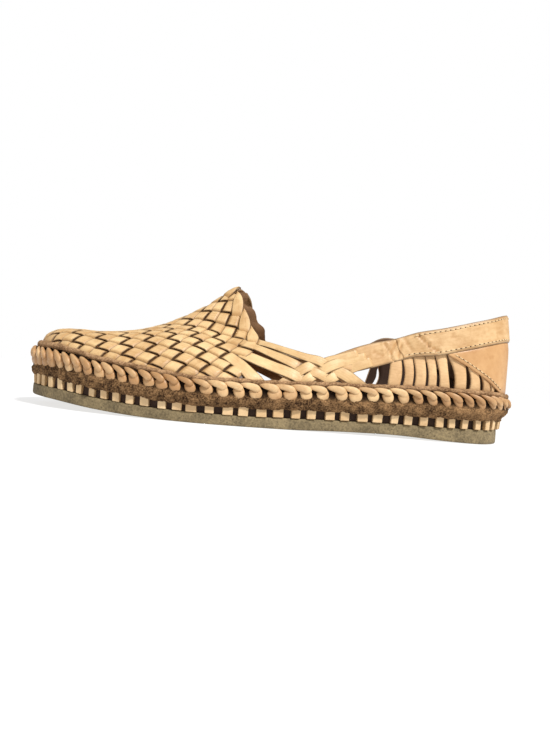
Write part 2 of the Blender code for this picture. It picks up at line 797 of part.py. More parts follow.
def make_upper(parts, cutters, materials):
    upper = make_vamp(parts, materials)
    quarter = bmesh.new()
    add_wall(quarter, rear_lengths(QUARTER_START, QUARTER_COLUMNS), quarter_heights, (0.0, -WALL))
    quarter = finish_object("quarter_wall", quarter, cutters)
    slots = bmesh.new()
    for side in (LATERAL, MEDIAL):
        for row in SLOT_ROWS:
            add_slot(slots, side, row)
    add_boolean(quarter, finish_object("quarter_slots", slots, cutters), "DIFFERENCE")
    add_boolean(upper, quarter, "UNION")
    for side, name in ((LATERAL, "lateral"), (MEDIAL, "medial")):
        for piece in make_side_straps(side, name, cutters):
            add_boolean(upper, piece, "UNION", "MANIFOLD")
    hem = bmesh.new()
    lengths = [k * OUTLINE.total / PITCHES for k in range(PITCHES)]
    add_loop_profile(hem, lengths, hem_profile)
    add_boolean(upper, finish_object("upper_hem", hem, cutters), "UNION", "MANIFOLD")
    return upper


def make_side_straps(side, name, cutters):
    """Front of the collar band, and the straps and fingers that cross there."""
    band = bmesh.new()
    lengths = [side_length(side, x) for x in np.linspace(BAND_START, SEAM_X - GAP, BAND_COLUMNS)]
    add_wall(band, lengths, band_heights, BAND_FACES)
    pieces = [finish_object(f"{name}_band_front", band, cutters)]
    for group, lines, faces in (("strap", STRAPS, STRAP_FACES), ("finger", FINGERS, FINGER_FACES)):
        for k, rows in enumerate(lines):
            strip = bmesh.new()
            add_strip(strip, side, rows, [out - k * STAGGER for out in faces])
            pieces.append(finish_object(f"{name}_{group}_{k + 1}", strip, cutters))
    return pieces


def hem_profile(a):
    """Low ring inside the rand that ties the vamp, straps and quarters together."""
    foot = level(TAB_TOP, OUTLINE.at(a)[2][0]) + 1.5 * GAP
    return [skin_point(a, z, out) for z, out in (
        (foot, -1.0), (foot + 4.5, -1.0), (foot + 4.5, -2.3), (foot, -2.3))]


def make_overlay(name, start_x, count, heights, parts, material):
    bm = bmesh.new()
    add_wall(bm, rear_lengths(start_x, count), heights, OVERLAY_FACES)
    return finish_object(name, bm, parts, material)


def main():
    for item in list(bpy.data.objects):
        bpy.data.objects.remove(item, do_unlink=True)
    parts = bpy.data.collections.new("woven_flat")
    cutters = bpy.data.collections.new("cutters")
    for collection in (parts, cutters):
        bpy.context.scene.collection.children.link(collection)
    materials = {name: add_material(name) for name in MATERIALS}
    make_outsole(parts, materials)
    make_midsole(parts, cutters, materials)
    make_insole(parts, materials)
    make_rand(parts, materials)
    make_braid(parts, materials)
    make_upper(parts, cutters, materials)
    make_overlay("heel_band", SEAM_X, 34, band_heights, parts, materials["tan_leather"])
    make_overlay("heel_counter", 87.0, 26, counter_heights, parts, materials["counter_leather"])


main()
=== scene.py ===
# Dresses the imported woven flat: real interlaced strips, braid, suede rand, stitched heel.
import math

import bmesh
import bpy
import numpy as np
from mathutils import Matrix, Vector


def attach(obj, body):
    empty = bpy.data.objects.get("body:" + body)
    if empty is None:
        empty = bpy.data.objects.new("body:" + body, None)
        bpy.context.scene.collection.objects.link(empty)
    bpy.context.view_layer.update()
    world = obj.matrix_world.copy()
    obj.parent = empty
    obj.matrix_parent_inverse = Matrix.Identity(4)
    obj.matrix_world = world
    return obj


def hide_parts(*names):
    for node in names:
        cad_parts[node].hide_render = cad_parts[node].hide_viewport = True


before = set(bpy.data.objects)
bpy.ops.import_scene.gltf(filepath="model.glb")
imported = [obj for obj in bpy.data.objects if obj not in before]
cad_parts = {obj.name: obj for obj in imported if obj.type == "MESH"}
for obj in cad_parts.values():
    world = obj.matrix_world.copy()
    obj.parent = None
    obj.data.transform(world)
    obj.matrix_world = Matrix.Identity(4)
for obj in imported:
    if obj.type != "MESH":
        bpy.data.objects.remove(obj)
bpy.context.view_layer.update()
mm = 0.001
lateral, medial = 1.0, -1.0
rng = np.random.default_rng(7)

# The shoe's own sizes in millimetres, as the solids have them. X runs from toe to heel, -Y is lateral.
soleRows = (  # x, half width lateral, half width medial
    (-125, 14, 22), (-115, 26, 30), (-100, 35, 37), (-80, 42, 42), (-55, 46, 44.5), (-30, 46.5, 41.5),
    (0, 42, 34), (30, 36, 29), (60, 32.5, 29), (90, 31, 30.5), (110, 25, 26), (120, 15, 17),
)
toeTip, heelEnd = (-131, 6), (124, 1)
levelNames = ("rise", "soleTop", "tabTop", "braidFoot", "braidTop", "randTop", "flare")
levelRows = (  # x, then one column for each name above
    (-131, 5.6, 11.0, 16.0, 21.6, 30.4, 33.6, -2.4),
    (-109, 4.3, 9.9, 14.6, 19.8, 28.8, 31.6, -2.0),
    (-85, 2.0, 7.5, 11.8, 16.8, 24.7, 27.2, -1.5),
    (-59, 0.4, 5.6, 9.6, 14.0, 21.8, 23.8, -1.0),
    (-35, 0.0, 5.0, 8.6, 12.8, 20.1, 21.9, -0.6),
    (-11, 0.0, 5.0, 8.9, 12.9, 20.1, 22.0, -0.3),
    (13, 0.2, 5.6, 9.9, 14.3, 21.3, 23.2, 0.0),
    (38, 1.0, 6.3, 10.6, 15.6, 22.8, 24.6, 0.4),
    (63, 1.3, 6.8, 11.2, 16.6, 23.8, 25.6, 0.8),
    (88, 0.4, 7.1, 11.8, 17.3, 24.5, 26.4, 1.4),
    (108, 0.0, 7.2, 12.0, 17.6, 24.5, 26.4, 2.0),
    (124, 0.0, 7.4, 12.2, 17.0, 23.5, 25.6, 2.5),
)
lastNames = ("crown", "dome", "spine", "square")
lastRows = (  # x, then one column for each name above
    (-95, 39.8, 11.4, 4.5, 4.0), (-80, 42.8, 15.6, 4.0, 3.2), (-67, 46.7, 20.0, 3.5, 2.7),
    (-54.5, 52.4, 23.5, 3.0, 2.4), (-42, 59.7, 25.0, 3.0, 2.5), (-23.6, 72.2, 23.5, 3.0, 2.5),
    (0, 72.2, 28.0, 1.5, 2.4), (25, 72.2, 60.0, 0.0, 2.2), (57, 72.2, 120.0, -0.5, 2.0),
    (92, 72.2, 165.0, 0.0, 2.0),
)
ridgeWidth, toeX, toeSquare, hemInset = 10.0, -95.0, 8.5, -1.8
pitches = 72  # turns of the braid round the shoe


def smoothRows(rows, x):
    # All columns of a table at x, by a smooth curve held level past its ends.
    table = np.array(rows, float)
    xs, ys = table[:, 0], table[:, 1:]
    x = np.clip(np.asarray(x, float), xs[0], xs[-1])
    k = np.clip(np.searchsorted(xs, x) - 1, 0, len(xs) - 2)
    span = (xs[k + 1] - xs[k])[..., None]
    t = (x - xs[k])[..., None] / span
    slopes = np.gradient(ys, xs, axis=0)
    ends = ys[k] * (1 + 2 * t) * (1 - t) ** 2 + ys[k + 1] * t * t * (3 - 2 * t)
    return ends + (slopes[k] * t * (1 - t) ** 2 - slopes[k + 1] * t * t * (1 - t)) * span


def level(name, x):
    value = smoothRows(levelRows, x)[..., levelNames.index(name)]
    return np.maximum(value, 0.0) if name == "rise" else value


def lastSize(name, x):
    return smoothRows(lastRows, x)[..., lastNames.index(name)]


def closedCurve(points, steps=40):
    points = np.array(points, float)
    count = len(points)
    out = []
    for i in range(count):
        p = [points[(i + k) % count] for k in (-1, 0, 1, 2)]
        t = [0.0]
        for a, b in zip(p, p[1:]):
            t.append(t[-1] + math.sqrt(np.linalg.norm(b - a)))
        for s in np.linspace(t[1], t[2], steps, endpoint=False):
            q = [((t[k + 1] - s) * p[k] + (s - t[k]) * p[k + 1]) / (t[k + 1] - t[k]) for k in range(3)]
            r = [((t[k + 2] - s) * q[k] + (s - t[k]) * q[k + 1]) / (t[k + 2] - t[k]) for k in range(2)]
            out.append(((t[2] - s) * r[0] + (s - t[1]) * r[1]) / (t[2] - t[1]))
    return np.array(out)


class Outline:
    # The sole's edge, read by length from the toe tip along the lateral side and back.
    def __init__(self):
        knots = [toeTip] + [(x, -out) for x, out, _ in soleRows]
        knots += [heelEnd] + [(x, out) for x, _, out in reversed(soleRows)]
        curve = closedCurve(knots)
        self.points = np.vstack([curve, curve[:1]])
        steps = np.linalg.norm(np.diff(self.points, axis=0), axis=1)
        self.lengths = np.concatenate([[0.0], np.cumsum(steps)])
        self.total = self.lengths[-1]
        tangent = np.roll(curve, -1, axis=0) - np.roll(curve, 1, axis=0)
        tangent /= np.linalg.norm(tangent, axis=1)[:, None]
        normal = np.stack([tangent[:, 1], -tangent[:, 0]], axis=1)
        self.normals = np.vstack([normal, normal[:1]])
        self.foot = self.points + self.normals * level("flare", self.points[:, 0])[:, None]
        self.toeEnd = int(np.argmin(self.foot[:, 0]))
        self.heelEnd = int(np.argmax(self.foot[:, 0]))

    def at(self, a):
        a = np.mod(a, self.total)
        edge, normal, foot = (
            np.stack([np.interp(a, self.lengths, t[:, k]) for k in (0, 1)], -1)
            for t in (self.points, self.normals, self.foot))
        return edge, normal / np.linalg.norm(normal, axis=-1, keepdims=True), foot


outline = Outline()


def sideLength(side, x):
    count = len(outline.lengths) - 1
    index = (np.arange(outline.toeEnd, outline.heelEnd + 1) if side > 0
             else np.arange(outline.heelEnd, outline.toeEnd + count + 1)[::-1])
    lengths = outline.lengths[index % count] + (index // count) * outline.total
    return np.interp(x, outline.foot[index % count, 0], lengths)


def dome(foot):
    x = np.clip(foot[..., 0], lastRows[0][0], lastRows[-1][0])
    centre = np.stack([x, lastSize("spine", x)], -1)
    height = lastSize("dome", x) + level("randTop", x) - level("randTop", foot[..., 0])
    square = lastSize("square", x)
    ahead = np.maximum(toeX - foot[..., 0], 0.0) / (toeX - toeTip[0])
    return centre, height, square + (toeSquare - square) * ahead


def ridge(centre, domeTop, reach):
    return (lastSize("crown", centre[..., 0]) - domeTop) * np.exp(-(reach / ridgeWidth) ** 2)


def wallPoint(a, z):
    # Skin of the upper over length a of the outline, at height z, without the ridge.
    a, z = np.broadcast_arrays(np.asarray(a, float), np.asarray(z, float))
    edge, normal, foot = outline.at(a)
    top = level("randTop", foot[..., 0])
    drop = (top - z) / (top - level("tabTop", foot[..., 0]))
    low = foot + (edge + normal * hemInset - foot) * np.maximum(drop, 0.0)[..., None]
    centre, height, square = dome(foot)
    share = np.clip(1 - (z - top) / height, 0.0, 1.0) ** (1 / square)
    high = centre + (foot - centre) * share[..., None]
    plan = np.where((z < top)[..., None], low, high)
    return np.concatenate([plan, z[..., None]], -1)


def pushOut(pointAt, u, v, out, step=0.5):
    # Points of a skin function moved out along its own normal.
    along = pointAt(u + step, v) - pointAt(u - step, v)
    down = pointAt(u, v + step) - pointAt(u, v - step)
    normal = np.cross(down, along)
    normal /= np.linalg.norm(normal, axis=-1, keepdims=True)
    return pointAt(u, v) + normal * np.asarray(out)[..., None]


def wallSkin(a, z, out):
    return pushOut(lambda u, v: wallPoint(u, -v), a, -np.asarray(z, float), out)


def sideSkin(side, x, z, out):
    # Over x on one side, lifted with the ridge near the throat.
    a = sideLength(side, x)
    point = wallSkin(a, z, out)
    foot = outline.at(a)[2]
    centre, height, _ = dome(foot)
    reach = np.linalg.norm(point[..., :2] - centre, axis=-1)
    point[..., 2] += ridge(centre, level("randTop", foot[..., 0]) + height, reach)
    return point


def toeFan():
    centre = np.array([toeX, float(lastSize("spine", toeX))])
    ahead = np.linspace(0.0, float(sideLength(lateral, toeX + 4.0)), 60)
    back = np.linspace(float(sideLength(medial, toeX + 4.0)) - outline.total, 0.0, 60)
    lengths = np.concatenate([back[:-1], ahead])
    feet = outline.at(lengths)[2] - centre
    return np.arctan2(-feet[:, 1], -feet[:, 0]), lengths


toeAngles, toeLengths = toeFan()
sectionSteps = 81


def vampSection(x, s):
    # Outline length, run from the spine, and the plain dome's section at each place.
    side = np.where(s >= 0, sideLength(lateral, x), sideLength(medial, x))
    fan = np.interp(np.arctan2(s, toeX - x), toeAngles, toeLengths)
    behind = x >= toeX
    a = np.where(behind, side, fan)
    run = np.where(behind, np.abs(s), np.hypot(s, toeX - x))
    foot = outline.at(a)[2]
    centre, height, square = dome(foot)
    f = np.linspace(0.0, 1.0, sectionSteps)
    plan = centre[:, None] + (foot - centre)[:, None] * f[:, None]
    z = level("randTop", foot[:, 0])[:, None] + height[:, None] * (1 - f ** square[:, None])
    steps = np.hypot(np.linalg.norm(np.diff(plan, axis=1), axis=2), np.diff(z, axis=1))
    lengths = np.concatenate([np.zeros((len(a), 1)), np.cumsum(steps, axis=1)], 1)
    return a, run, centre, plan, z, lengths


def vampPoint(x, s):
    # Skin of the vamp at x along the shoe and length s down the dome, lateral positive.
    shape = np.broadcast(x, s).shape
    x, s = (np.broadcast_to(np.asarray(v, float), shape).ravel() for v in (x, s))
    a, run, centre, plan, z, lengths = vampSection(x, s)
    reach = np.linalg.norm(plan - centre[:, None], axis=2)
    z = z + ridge(centre, z[:, 0], reach.T).T
    k = np.clip((lengths < run[:, None]).sum(1) - 1, 0, sectionSteps - 2)
    row = np.arange(len(k))
    t = ((run - lengths[row, k]) / (lengths[row, k + 1] - lengths[row, k]))[:, None]
    solid = np.concatenate([plan, z[..., None]], 2)
    inside = solid[row, k] * (1 - t) + solid[row, k + 1] * t
    over = run - lengths[:, -1]
    below = wallPoint(a, level("randTop", outline.at(a)[2][:, 0]) - over)
    return np.where((over > 0)[:, None], below, inside).reshape(shape + (3,))


def vampRoom(x, s):
    _, run, _, _, _, lengths = vampSection(np.atleast_1d(x).astype(float), np.atleast_1d(s).astype(float))
    return lengths[:, -1] - run


def vampSkin(x, s, out):
    return pushOut(vampPoint, x, s, out)


# On strips, deep also serves as painted shade where they dive, and edge as the dark of cut edges and as
# painted shadow in the crevices.
finishes = {  # scene-linear colours
    "tan": {"light": (0.83, 0.58, 0.29), "deep": (0.50, 0.285, 0.11), "edge": (0.055, 0.022, 0.008)},
    "braid": {"light": (0.84, 0.58, 0.30), "deep": (0.44, 0.235, 0.095), "edge": (0.05, 0.02, 0.007)},
    "band": {"light": (0.82, 0.56, 0.29), "deep": (0.52, 0.29, 0.115), "edge": (0.055, 0.022, 0.008)},
    "quarter": {"light": (0.77, 0.50, 0.25), "deep": (0.46, 0.25, 0.10), "edge": (0.055, 0.022, 0.008)},
    # The lining finish is the flesh side darkened: painted shade for inner walls.
    "lining": {"light": (0.13, 0.060, 0.024), "deep": (0.06, 0.026, 0.010), "edge": (0.04, 0.016, 0.006)},
    "counter": {"light": (0.66, 0.385, 0.17), "deep": (0.46, 0.22, 0.075), "edge": (0.12, 0.045, 0.015)},
    "flesh": {"light": (0.29, 0.15, 0.06), "deep": (0.12, 0.056, 0.02), "edge": (0.04, 0.016, 0.006)},
    "tab": {"light": (0.80, 0.575, 0.32), "deep": (0.56, 0.34, 0.15), "edge": (0.035, 0.015, 0.006)},
    "thread": {"light": (0.80, 0.62, 0.36), "deep": (0.60, 0.40, 0.19), "edge": (0.3, 0.16, 0.06)},
    "insole": {"light": (0.34, 0.18, 0.08), "deep": (0.20, 0.095, 0.04), "edge": (0.1, 0.05, 0.02)},
    "suede": {"light": (0.54, 0.305, 0.135), "deep": (0.028, 0.011, 0.004)},
    "piping": {"light": (0.62, 0.38, 0.20), "deep": (0.13, 0.062, 0.026)},
    "crepe": {"light": (0.33, 0.245, 0.122), "deep": (0.085, 0.061, 0.028)},
    # The core finish is near-black: painted shade for gaps, needle holes and the backs of the quarter strips.
    "core": {"light": (0.055, 0.024, 0.011), "deep": (0.022, 0.009, 0.004)},
}


def makeGroup(name, inputs, outputs, build):
    # A shader group: inputs and outputs as (name, socket kind, starting value).
    group = bpy.data.node_groups.new(name, "ShaderNodeTree")
    for direction, sockets in (("INPUT", inputs), ("OUTPUT", outputs)):
        for socketName, kind, value in sockets:
            socket = group.interface.new_socket(socketName, in_out=direction, socket_type=kind)
            if value is not None:
                socket.default_value = value
    build(group, group.nodes.new("NodeGroupInput"), group.nodes.new("NodeGroupOutput"))
    return group


def addNode(tree, kind, inputs=None, **settings):
    # A node with its settings; an input may be a value or another node's output.
    node = tree.nodes.new(kind)
    for name, value in settings.items():
        setattr(node, name, value)
    for name, value in (inputs or {}).items():
        if isinstance(value, bpy.types.NodeSocket):
            tree.links.new(value, node.inputs[name])
        else:
            node.inputs[name].default_value = value
    return node


def mathNode(tree, operation, first, second=0.5, clamp=False):
    return addNode(tree, "ShaderNodeMath", {0: first, 1: second}, operation=operation,
                   use_clamp=clamp).outputs[0]


def addShare(tree, base, mask, share, clamp=False):
    # Adds a share of one mask to another.
    return mathNode(tree, "ADD", base, mathNode(tree, "MULTIPLY", mask, share), clamp)


def mixColour(tree, factor, first, second):
    node = addNode(tree, "ShaderNodeMix", data_type="RGBA")
    for index, value in ((0, factor), (6, first), (7, second)):
        if isinstance(value, bpy.types.NodeSocket):
            tree.links.new(value, node.inputs[index])
        else:
            node.inputs[index].default_value = value if index == 0 else (*value[:3], 1.0)
    return node.outputs[2]


def spread(tree, value, low, high):
    # Steepens a mask: low becomes 0 and high becomes 1.
    return addNode(tree, "ShaderNodeMapRange", {0: value, 1: low, 2: high}).outputs[0]


def buildGrain(tree, given, result):
    # Pores and fine creases of leather.
    fine = addNode(tree, "ShaderNodeTexNoise",
                   {"Vector": given.outputs["Place"], "Scale": given.outputs["Scale"],
                                                "Detail": 4.0, "Roughness": 0.6})
    wider = mathNode(tree, "MULTIPLY", given.outputs["Scale"], 0.7)
    cells = addNode(tree, "ShaderNodeTexVoronoi", {"Vector": given.outputs["Place"], "Scale": wider})
    height = addShare(tree, fine.outputs["Fac"], cells.outputs["Distance"], 0.5)
    tree.links.new(height, result.inputs["Height"])
    tree.links.new(spread(tree, fine.outputs["Fac"], 0.35, 0.7), result.inputs["Mask"])


def buildPatina(tree, given, result):
    # Uneven tan: broad clouds, with darker scuffs here and there.
    broad = addNode(tree, "ShaderNodeTexNoise",
                    {"Vector": given.outputs["Place"], "Scale": given.outputs["Scale"],
                                                 "Detail": 5.0, "Roughness": 0.62})
    finer = mathNode(tree, "MULTIPLY", given.outputs["Scale"], 4.3)
    scuff = addNode(tree, "ShaderNodeTexNoise",
                    {"Vector": given.outputs["Place"], "Detail": 6.0, "Scale": finer})
    tree.links.new(spread(tree, broad.outputs["Fac"], 0.3, 0.72), result.inputs["Clouds"])
    tree.links.new(spread(tree, scuff.outputs["Fac"], 0.56, 0.74), result.inputs["Scuffs"])


vectorKind, floatKind = "NodeSocketVector", "NodeSocketFloat"
grainGroup = makeGroup("leatherGrain", (("Place", vectorKind, None), ("Scale", floatKind, 1500.0)),
                       (("Height", floatKind, None), ("Mask", floatKind, None)), buildGrain)
patinaGroup = makeGroup("leatherPatina", (("Place", vectorKind, None), ("Scale", floatKind, 70.0)),
                        (("Clouds", floatKind, None), ("Scuffs", floatKind, None)), buildPatina)


def startMaterial(name, roughness, **values):
    material = bpy.data.materials.new(name)
    material.use_nodes = True
    tree = material.node_tree
    shader = tree.nodes["Principled BSDF"]
    shader.inputs["Roughness"].default_value = roughness
    for socket, value in values.items():
        shader.inputs[socket.replace("_", " ")].default_value = value
    place = addNode(tree, "ShaderNodeTexCoord").outputs["Object"]
    return material, tree, shader, place


def setBump(tree, shader, height, strength, distance):
    bump = addNode(tree, "ShaderNodeBump",
                   {"Height": height, "Strength": strength, "Distance": distance * mm})
    tree.links.new(bump.outputs[0], shader.inputs["Normal"])


def attribute(tree, name):
    return addNode(tree, "ShaderNodeAttribute", attribute_name=name).outputs["Fac"]


def leather(name, colours, roughness=0.5, strips=False, clouds=0.75, grainScale=1500.0, bump=0.5):
    # Vegetable-tanned leather. With strips, it reads the strip's tone, paints shade where the strip dives
    # under its neighbours, and darkens its side edges.
    material, tree, shader, place = startMaterial(name, roughness)
    grain = addNode(tree, "ShaderNodeGroup", node_tree=grainGroup)
    patina = addNode(tree, "ShaderNodeGroup", node_tree=patinaGroup)
    for group in (grain, patina):
        tree.links.new(place, group.inputs["Place"])
    grain.inputs["Scale"].default_value = grainScale
    deep = mathNode(tree, "MULTIPLY", patina.outputs["Clouds"], clouds)
    deep = addShare(tree, deep, patina.outputs["Scuffs"], 0.3)
    if strips:
        uv = addNode(tree, "ShaderNodeUVMap", uv_map="strip").outputs[0]
        streaks = addNode(tree, "ShaderNodeTexNoise", {
            "Vector": addNode(tree, "ShaderNodeMapping", {"Vector": uv, "Scale": (1.3, 9.0, 1.0)}).outputs[0],
            "Scale": 1.0, "Detail": 3.0}).outputs["Fac"]
        deep = addShare(tree, deep, attribute(tree, "tone"), 0.16)
        deep = addShare(tree, deep, spread(tree, streaks, 0.4, 0.7), 0.25)
        # Painted shade: the strip browns towards the places where it dives under its neighbours.
        paintedDiveShade = spread(tree, attribute(tree, "dip"), 0.97, 0.1)
        deep = addShare(tree, deep, paintedDiveShade, 0.75)
    colour = mixColour(tree, mathNode(tree, "MAXIMUM", deep, 0.0, True), colours["light"], colours["deep"])
    if strips:
        # Darkened side edges: the dark of the cut edge, and partly painted shade in the gaps between strips.
        away = mathNode(tree, "ABSOLUTE", mathNode(tree, "SUBTRACT", attribute(tree, "side"), 0.5))
        edge = mathNode(tree, "MULTIPLY", spread(tree, away, 0.41, 0.515), 0.8)
        # Painted shadow in the crevice where the strip dives right under.
        under = mathNode(tree, "MULTIPLY", spread(tree, attribute(tree, "dip"), 0.12, -0.3), 0.95)
        toneShift = mathNode(tree, "MAXIMUM", edge, under, True)
        colour = mixColour(tree, toneShift, colour, colours["edge"])
    tree.links.new(colour, shader.inputs["Base Color"])
    rough = addNode(tree, "ShaderNodeMapRange",
                    {0: grain.outputs["Mask"], 3: roughness - 0.08, 4: roughness + 0.1})
    tree.links.new(rough.outputs[0], shader.inputs["Roughness"])
    setBump(tree, shader, grain.outputs["Height"], bump, 0.12)
    return material


def napped(name, colours, scale, strength, distance, toneShift=(0.0, 0.0)):
    # Suede and piping: a rough nap with brushed light and dark patches.
    material, tree, shader, place = startMaterial(name, 0.95, Specular_IOR_Level=0.15)
    nap = addNode(tree, "ShaderNodeTexNoise",
                  {"Vector": place, "Scale": scale, "Detail": 6.0, "Roughness": 0.75})
    brushed = addNode(tree, "ShaderNodeTexNoise", {"Vector": place, "Scale": scale * 0.16, "Detail": 4.0})
    mask = mathNode(tree, "ADD",
                    mathNode(tree, "MULTIPLY", spread(tree, nap.outputs["Fac"], 0.40, 0.68), 0.75),
                    mathNode(tree, "MULTIPLY", spread(tree, brushed.outputs["Fac"], 0.4, 0.66), 0.35))
    # Of the two tone shifts, the first lightens the nap towards the heel and the second darkens it all over.
    rear = addNode(tree, "ShaderNodeSeparateXYZ", {0: place}).outputs[0]
    mask = addShare(tree, mask, spread(tree, rear, 0.02, 0.12), toneShift[0])
    mask = mathNode(tree, "SUBTRACT", mask, toneShift[1], True)
    shade = mixColour(tree, mask, colours["deep"], colours["light"])
    # Painted shade: where the dip attribute is low the nap goes near-black, at the rand's foot and behind the
    # braid.
    paintedNapShade = spread(tree, attribute(tree, "dip"), 1.0, 0.0)
    tree.links.new(mixColour(tree, paintedNapShade, shade, (0.012, 0.005, 0.002)), shader.inputs["Base Color"])
    setBump(tree, shader, nap.outputs["Fac"], strength, distance)
    return material


def crepeRubber(name, colours):
    material, tree, shader, place = startMaterial(name, 0.8)
    crumbs = addNode(tree, "ShaderNodeTexNoise",
                     {"Vector": place, "Scale": 900.0, "Detail": 5.0, "Roughness": 0.7})
    pits = addNode(tree, "ShaderNodeTexVoronoi", {"Vector": place, "Scale": 520.0})
    clouds = addNode(tree, "ShaderNodeTexNoise", {"Vector": place, "Scale": 90.0, "Detail": 3.0})
    mask = mathNode(tree, "ADD",
                    mathNode(tree, "MULTIPLY", spread(tree, crumbs.outputs["Fac"], 0.36, 0.66), 0.6),
                    mathNode(tree, "MULTIPLY", spread(tree, clouds.outputs["Fac"], 0.35, 0.65), 0.4), True)
    pit = spread(tree, pits.outputs["Distance"], 0.22, 0.05)
    shade = mixColour(tree, mask, colours["deep"], colours["light"])
    shade = mixColour(tree, mathNode(tree, "MULTIPLY", pit, 0.6), shade, (0.03, 0.022, 0.012))
    tree.links.new(shade, shader.inputs["Base Color"])
    relief = mathNode(tree, "SUBTRACT", crumbs.outputs["Fac"], mathNode(tree, "MULTIPLY", pit, 0.5))
    setBump(tree, shader, relief, 0.9, 0.35)
    return material


tanLeather = leather("tanLeather", finishes["tan"], 0.5, strips=True)
braidLeather = leather("braidLeather", finishes["braid"], 0.5, strips=True, clouds=0.9)
quarterLeather = leather("quarterLeather", finishes["quarter"], 0.5, strips=True)
plainTan = leather("plainTan", finishes["band"], 0.5, strips=True, clouds=0.9)
counterLeather = leather("counterLeather", finishes["counter"], 0.45, clouds=0.9)
# A darker copy of the flesh side: painted shade for inner walls.
shadedLining = leather("shadedLining", finishes["lining"], 0.8, grainScale=2600.0, bump=0.8)
fleshSide = leather("fleshSide", finishes["flesh"], 0.85, grainScale=2600.0, bump=0.8)
tabLeather = leather("tabLeather", finishes["tab"], 0.65, strips=True, clouds=0.7)
insoleLeather = leather("insoleLeather", finishes["insole"], 0.6, clouds=0.9)
threadFinish = leather("thread", finishes["thread"], 0.7, grainScale=3000.0)
# Near-black: painted shade for gaps, needle holes and the backs of the quarter strips.
gapShadeLeather = leather("gapShadeLeather", finishes["core"], 0.8)
suede = napped("suede", finishes["suede"], 1300.0, 1.0, 0.7, (0.16, 0.14))
pipingSuede = napped("pipingSuede", finishes["piping"], 1100.0, 0.9, 0.4)
crepe = crepeRubber("crepe", finishes["crepe"])


def newPiece():
    # An empty mesh with the layers that the leather reads.
    bm = bmesh.new()
    for name in ("tone", "dip", "side"):
        bm.verts.layers.float.new(name)
    bm.loops.layers.uv.new("strip")
    return bm


def placeItem(name, data):
    item = bpy.data.objects.new(name, data)
    bpy.context.scene.collection.objects.link(item)
    return item


def addPatch(bm, columns, rows, place, tone=0.0, span=(1.0, 1.0), spacing=None, flip=False):
    # A grid of squares with each vertex moved to place(u, v). place gives points and how deep they dip, which
    # the materials paint as shade.
    made = bmesh.ops.create_grid(bm, x_segments=columns, y_segments=rows, size=0.5)["verts"]
    flat = np.array([vert.co[:2] for vert in made]) + 0.5
    u, v = flat[:, 0], flat[:, 1]
    if spacing is not None:
        v = np.interp(v, np.linspace(0, 1, len(spacing)), spacing)
    points, dip = place(u, v)
    dip = np.broadcast_to(dip, u.shape)
    toneLayer, dipLayer, sideLayer = (bm.verts.layers.float[n] for n in ("tone", "dip", "side"))
    places = {}
    for vert, point, depth, across, along in zip(made, points * mm, dip, v, u):
        vert.co = point
        vert[toneLayer], vert[dipLayer], vert[sideLayer] = tone, depth, across
        places[vert] = (along * span[0], across * span[1])
    strip = bm.loops.layers.uv["strip"]
    faces = list(dict.fromkeys(face for vert in made for face in vert.link_faces))
    if flip:
        bmesh.ops.reverse_faces(bm, faces=faces)
    for face in faces:
        for loop in face.loops:
            loop[strip].uv = places[loop.vert]
    return made


def addTurned(bm, make, place, tone=0.0):
    # One of bmesh's closed shapes, its unit points moved to place(points).
    made = make(bm)["verts"]
    points, dip = place(np.array([vert.co[:] for vert in made]))
    toneLayer, dipLayer, sideLayer = (bm.verts.layers.float[n] for n in ("tone", "dip", "side"))
    for vert, point, depth in zip(made, points * mm, np.broadcast_to(dip, len(made))):
        vert.co = point
        vert[toneLayer], vert[dipLayer], vert[sideLayer] = tone, depth, 0.5
    return made


def makePiece(name, bm, materials, nodes, thick=0.0, weld=0.0, smooth=True):
    if weld:
        bmesh.ops.remove_doubles(bm, verts=bm.verts, dist=weld * mm)
    if thick == 0.0:
        bmesh.ops.recalc_face_normals(bm, faces=bm.faces)
    mesh = bpy.data.meshes.new(name)
    bm.to_mesh(mesh)
    bm.free()
    for material in materials:
        mesh.materials.append(material)
    if smooth:
        mesh.shade_smooth()
    else:
        mesh.shade_flat()
    piece = placeItem(name, mesh)
    if thick:
        wall = piece.modifiers.new("wall", "SOLIDIFY")
        wall.thickness = thick * mm
        wall.offset = -1.0
        wall.use_even_offset = False
        wall.material_offset = len(materials) - 1
        wall.use_rim = True
    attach(piece, "root")
    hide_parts(*nodes)
    print("made", name, len(mesh.polygons), "faces")
    return piece


# The woven vamp.
weave = {
    "start": np.array([-73.8, 47.0]), "forwardStep": np.array([7.0, 2.7]), "backStep": np.array([3.9, -5.8]),
    "width": 0.89, "shift": 0.04, "height": 0.66, "thick": 1.05, "crown": 0.30, "perCell": 12, "tuck": 5.5,
    "reach": 24, "late": 0.09, "early": 0.05, "turn": 0.32, "shy": 3.0, "shyRamp": (12.0, 5.0),
    "ahead": 1.5, "lastCell": 6, "shortest": 12,
}
edgeSpacing = (0.0, 0.06, 0.2, 0.5, 0.8, 0.94, 1.0)
throatRows = (  # s, x of the vamp's rear edge
    (-62, 1.0), (-54, -4.0), (-48, -9.0), (-42, -13.5), (-36, -10.0), (-30, -6.0), (-24, -6.5),
    (-18, -9.5), (-12, -13.5), (-6, -18.5), (0, -22.6), (6, -20.2), (12, -16.0), (18, -12.0), (22, -9.8),
    (28, -10.5), (33.5, -10.8), (38.6, -13.1), (43.1, -16.0), (46.9, -11.9), (50.7, -8.2), (54.2, -2.5),
    (62, 6.0),
)
bendRows = (  # place along, x and s of the lowest forward strip, which turns down beside the opening
    (4.6, -27.9, 39.1), (5.1, -24.6, 40.8), (5.6, -21.2, 42.9), (6.1, -17.8, 45.2), (6.6, -14.7, 48.0),
    (7.2, -11.3, 51.3), (7.8, -8.2, 54.4), (8.4, -5.4, 57.4),
)
bentRow, bentWidth, bentOver = 3, 7.6, 5.5


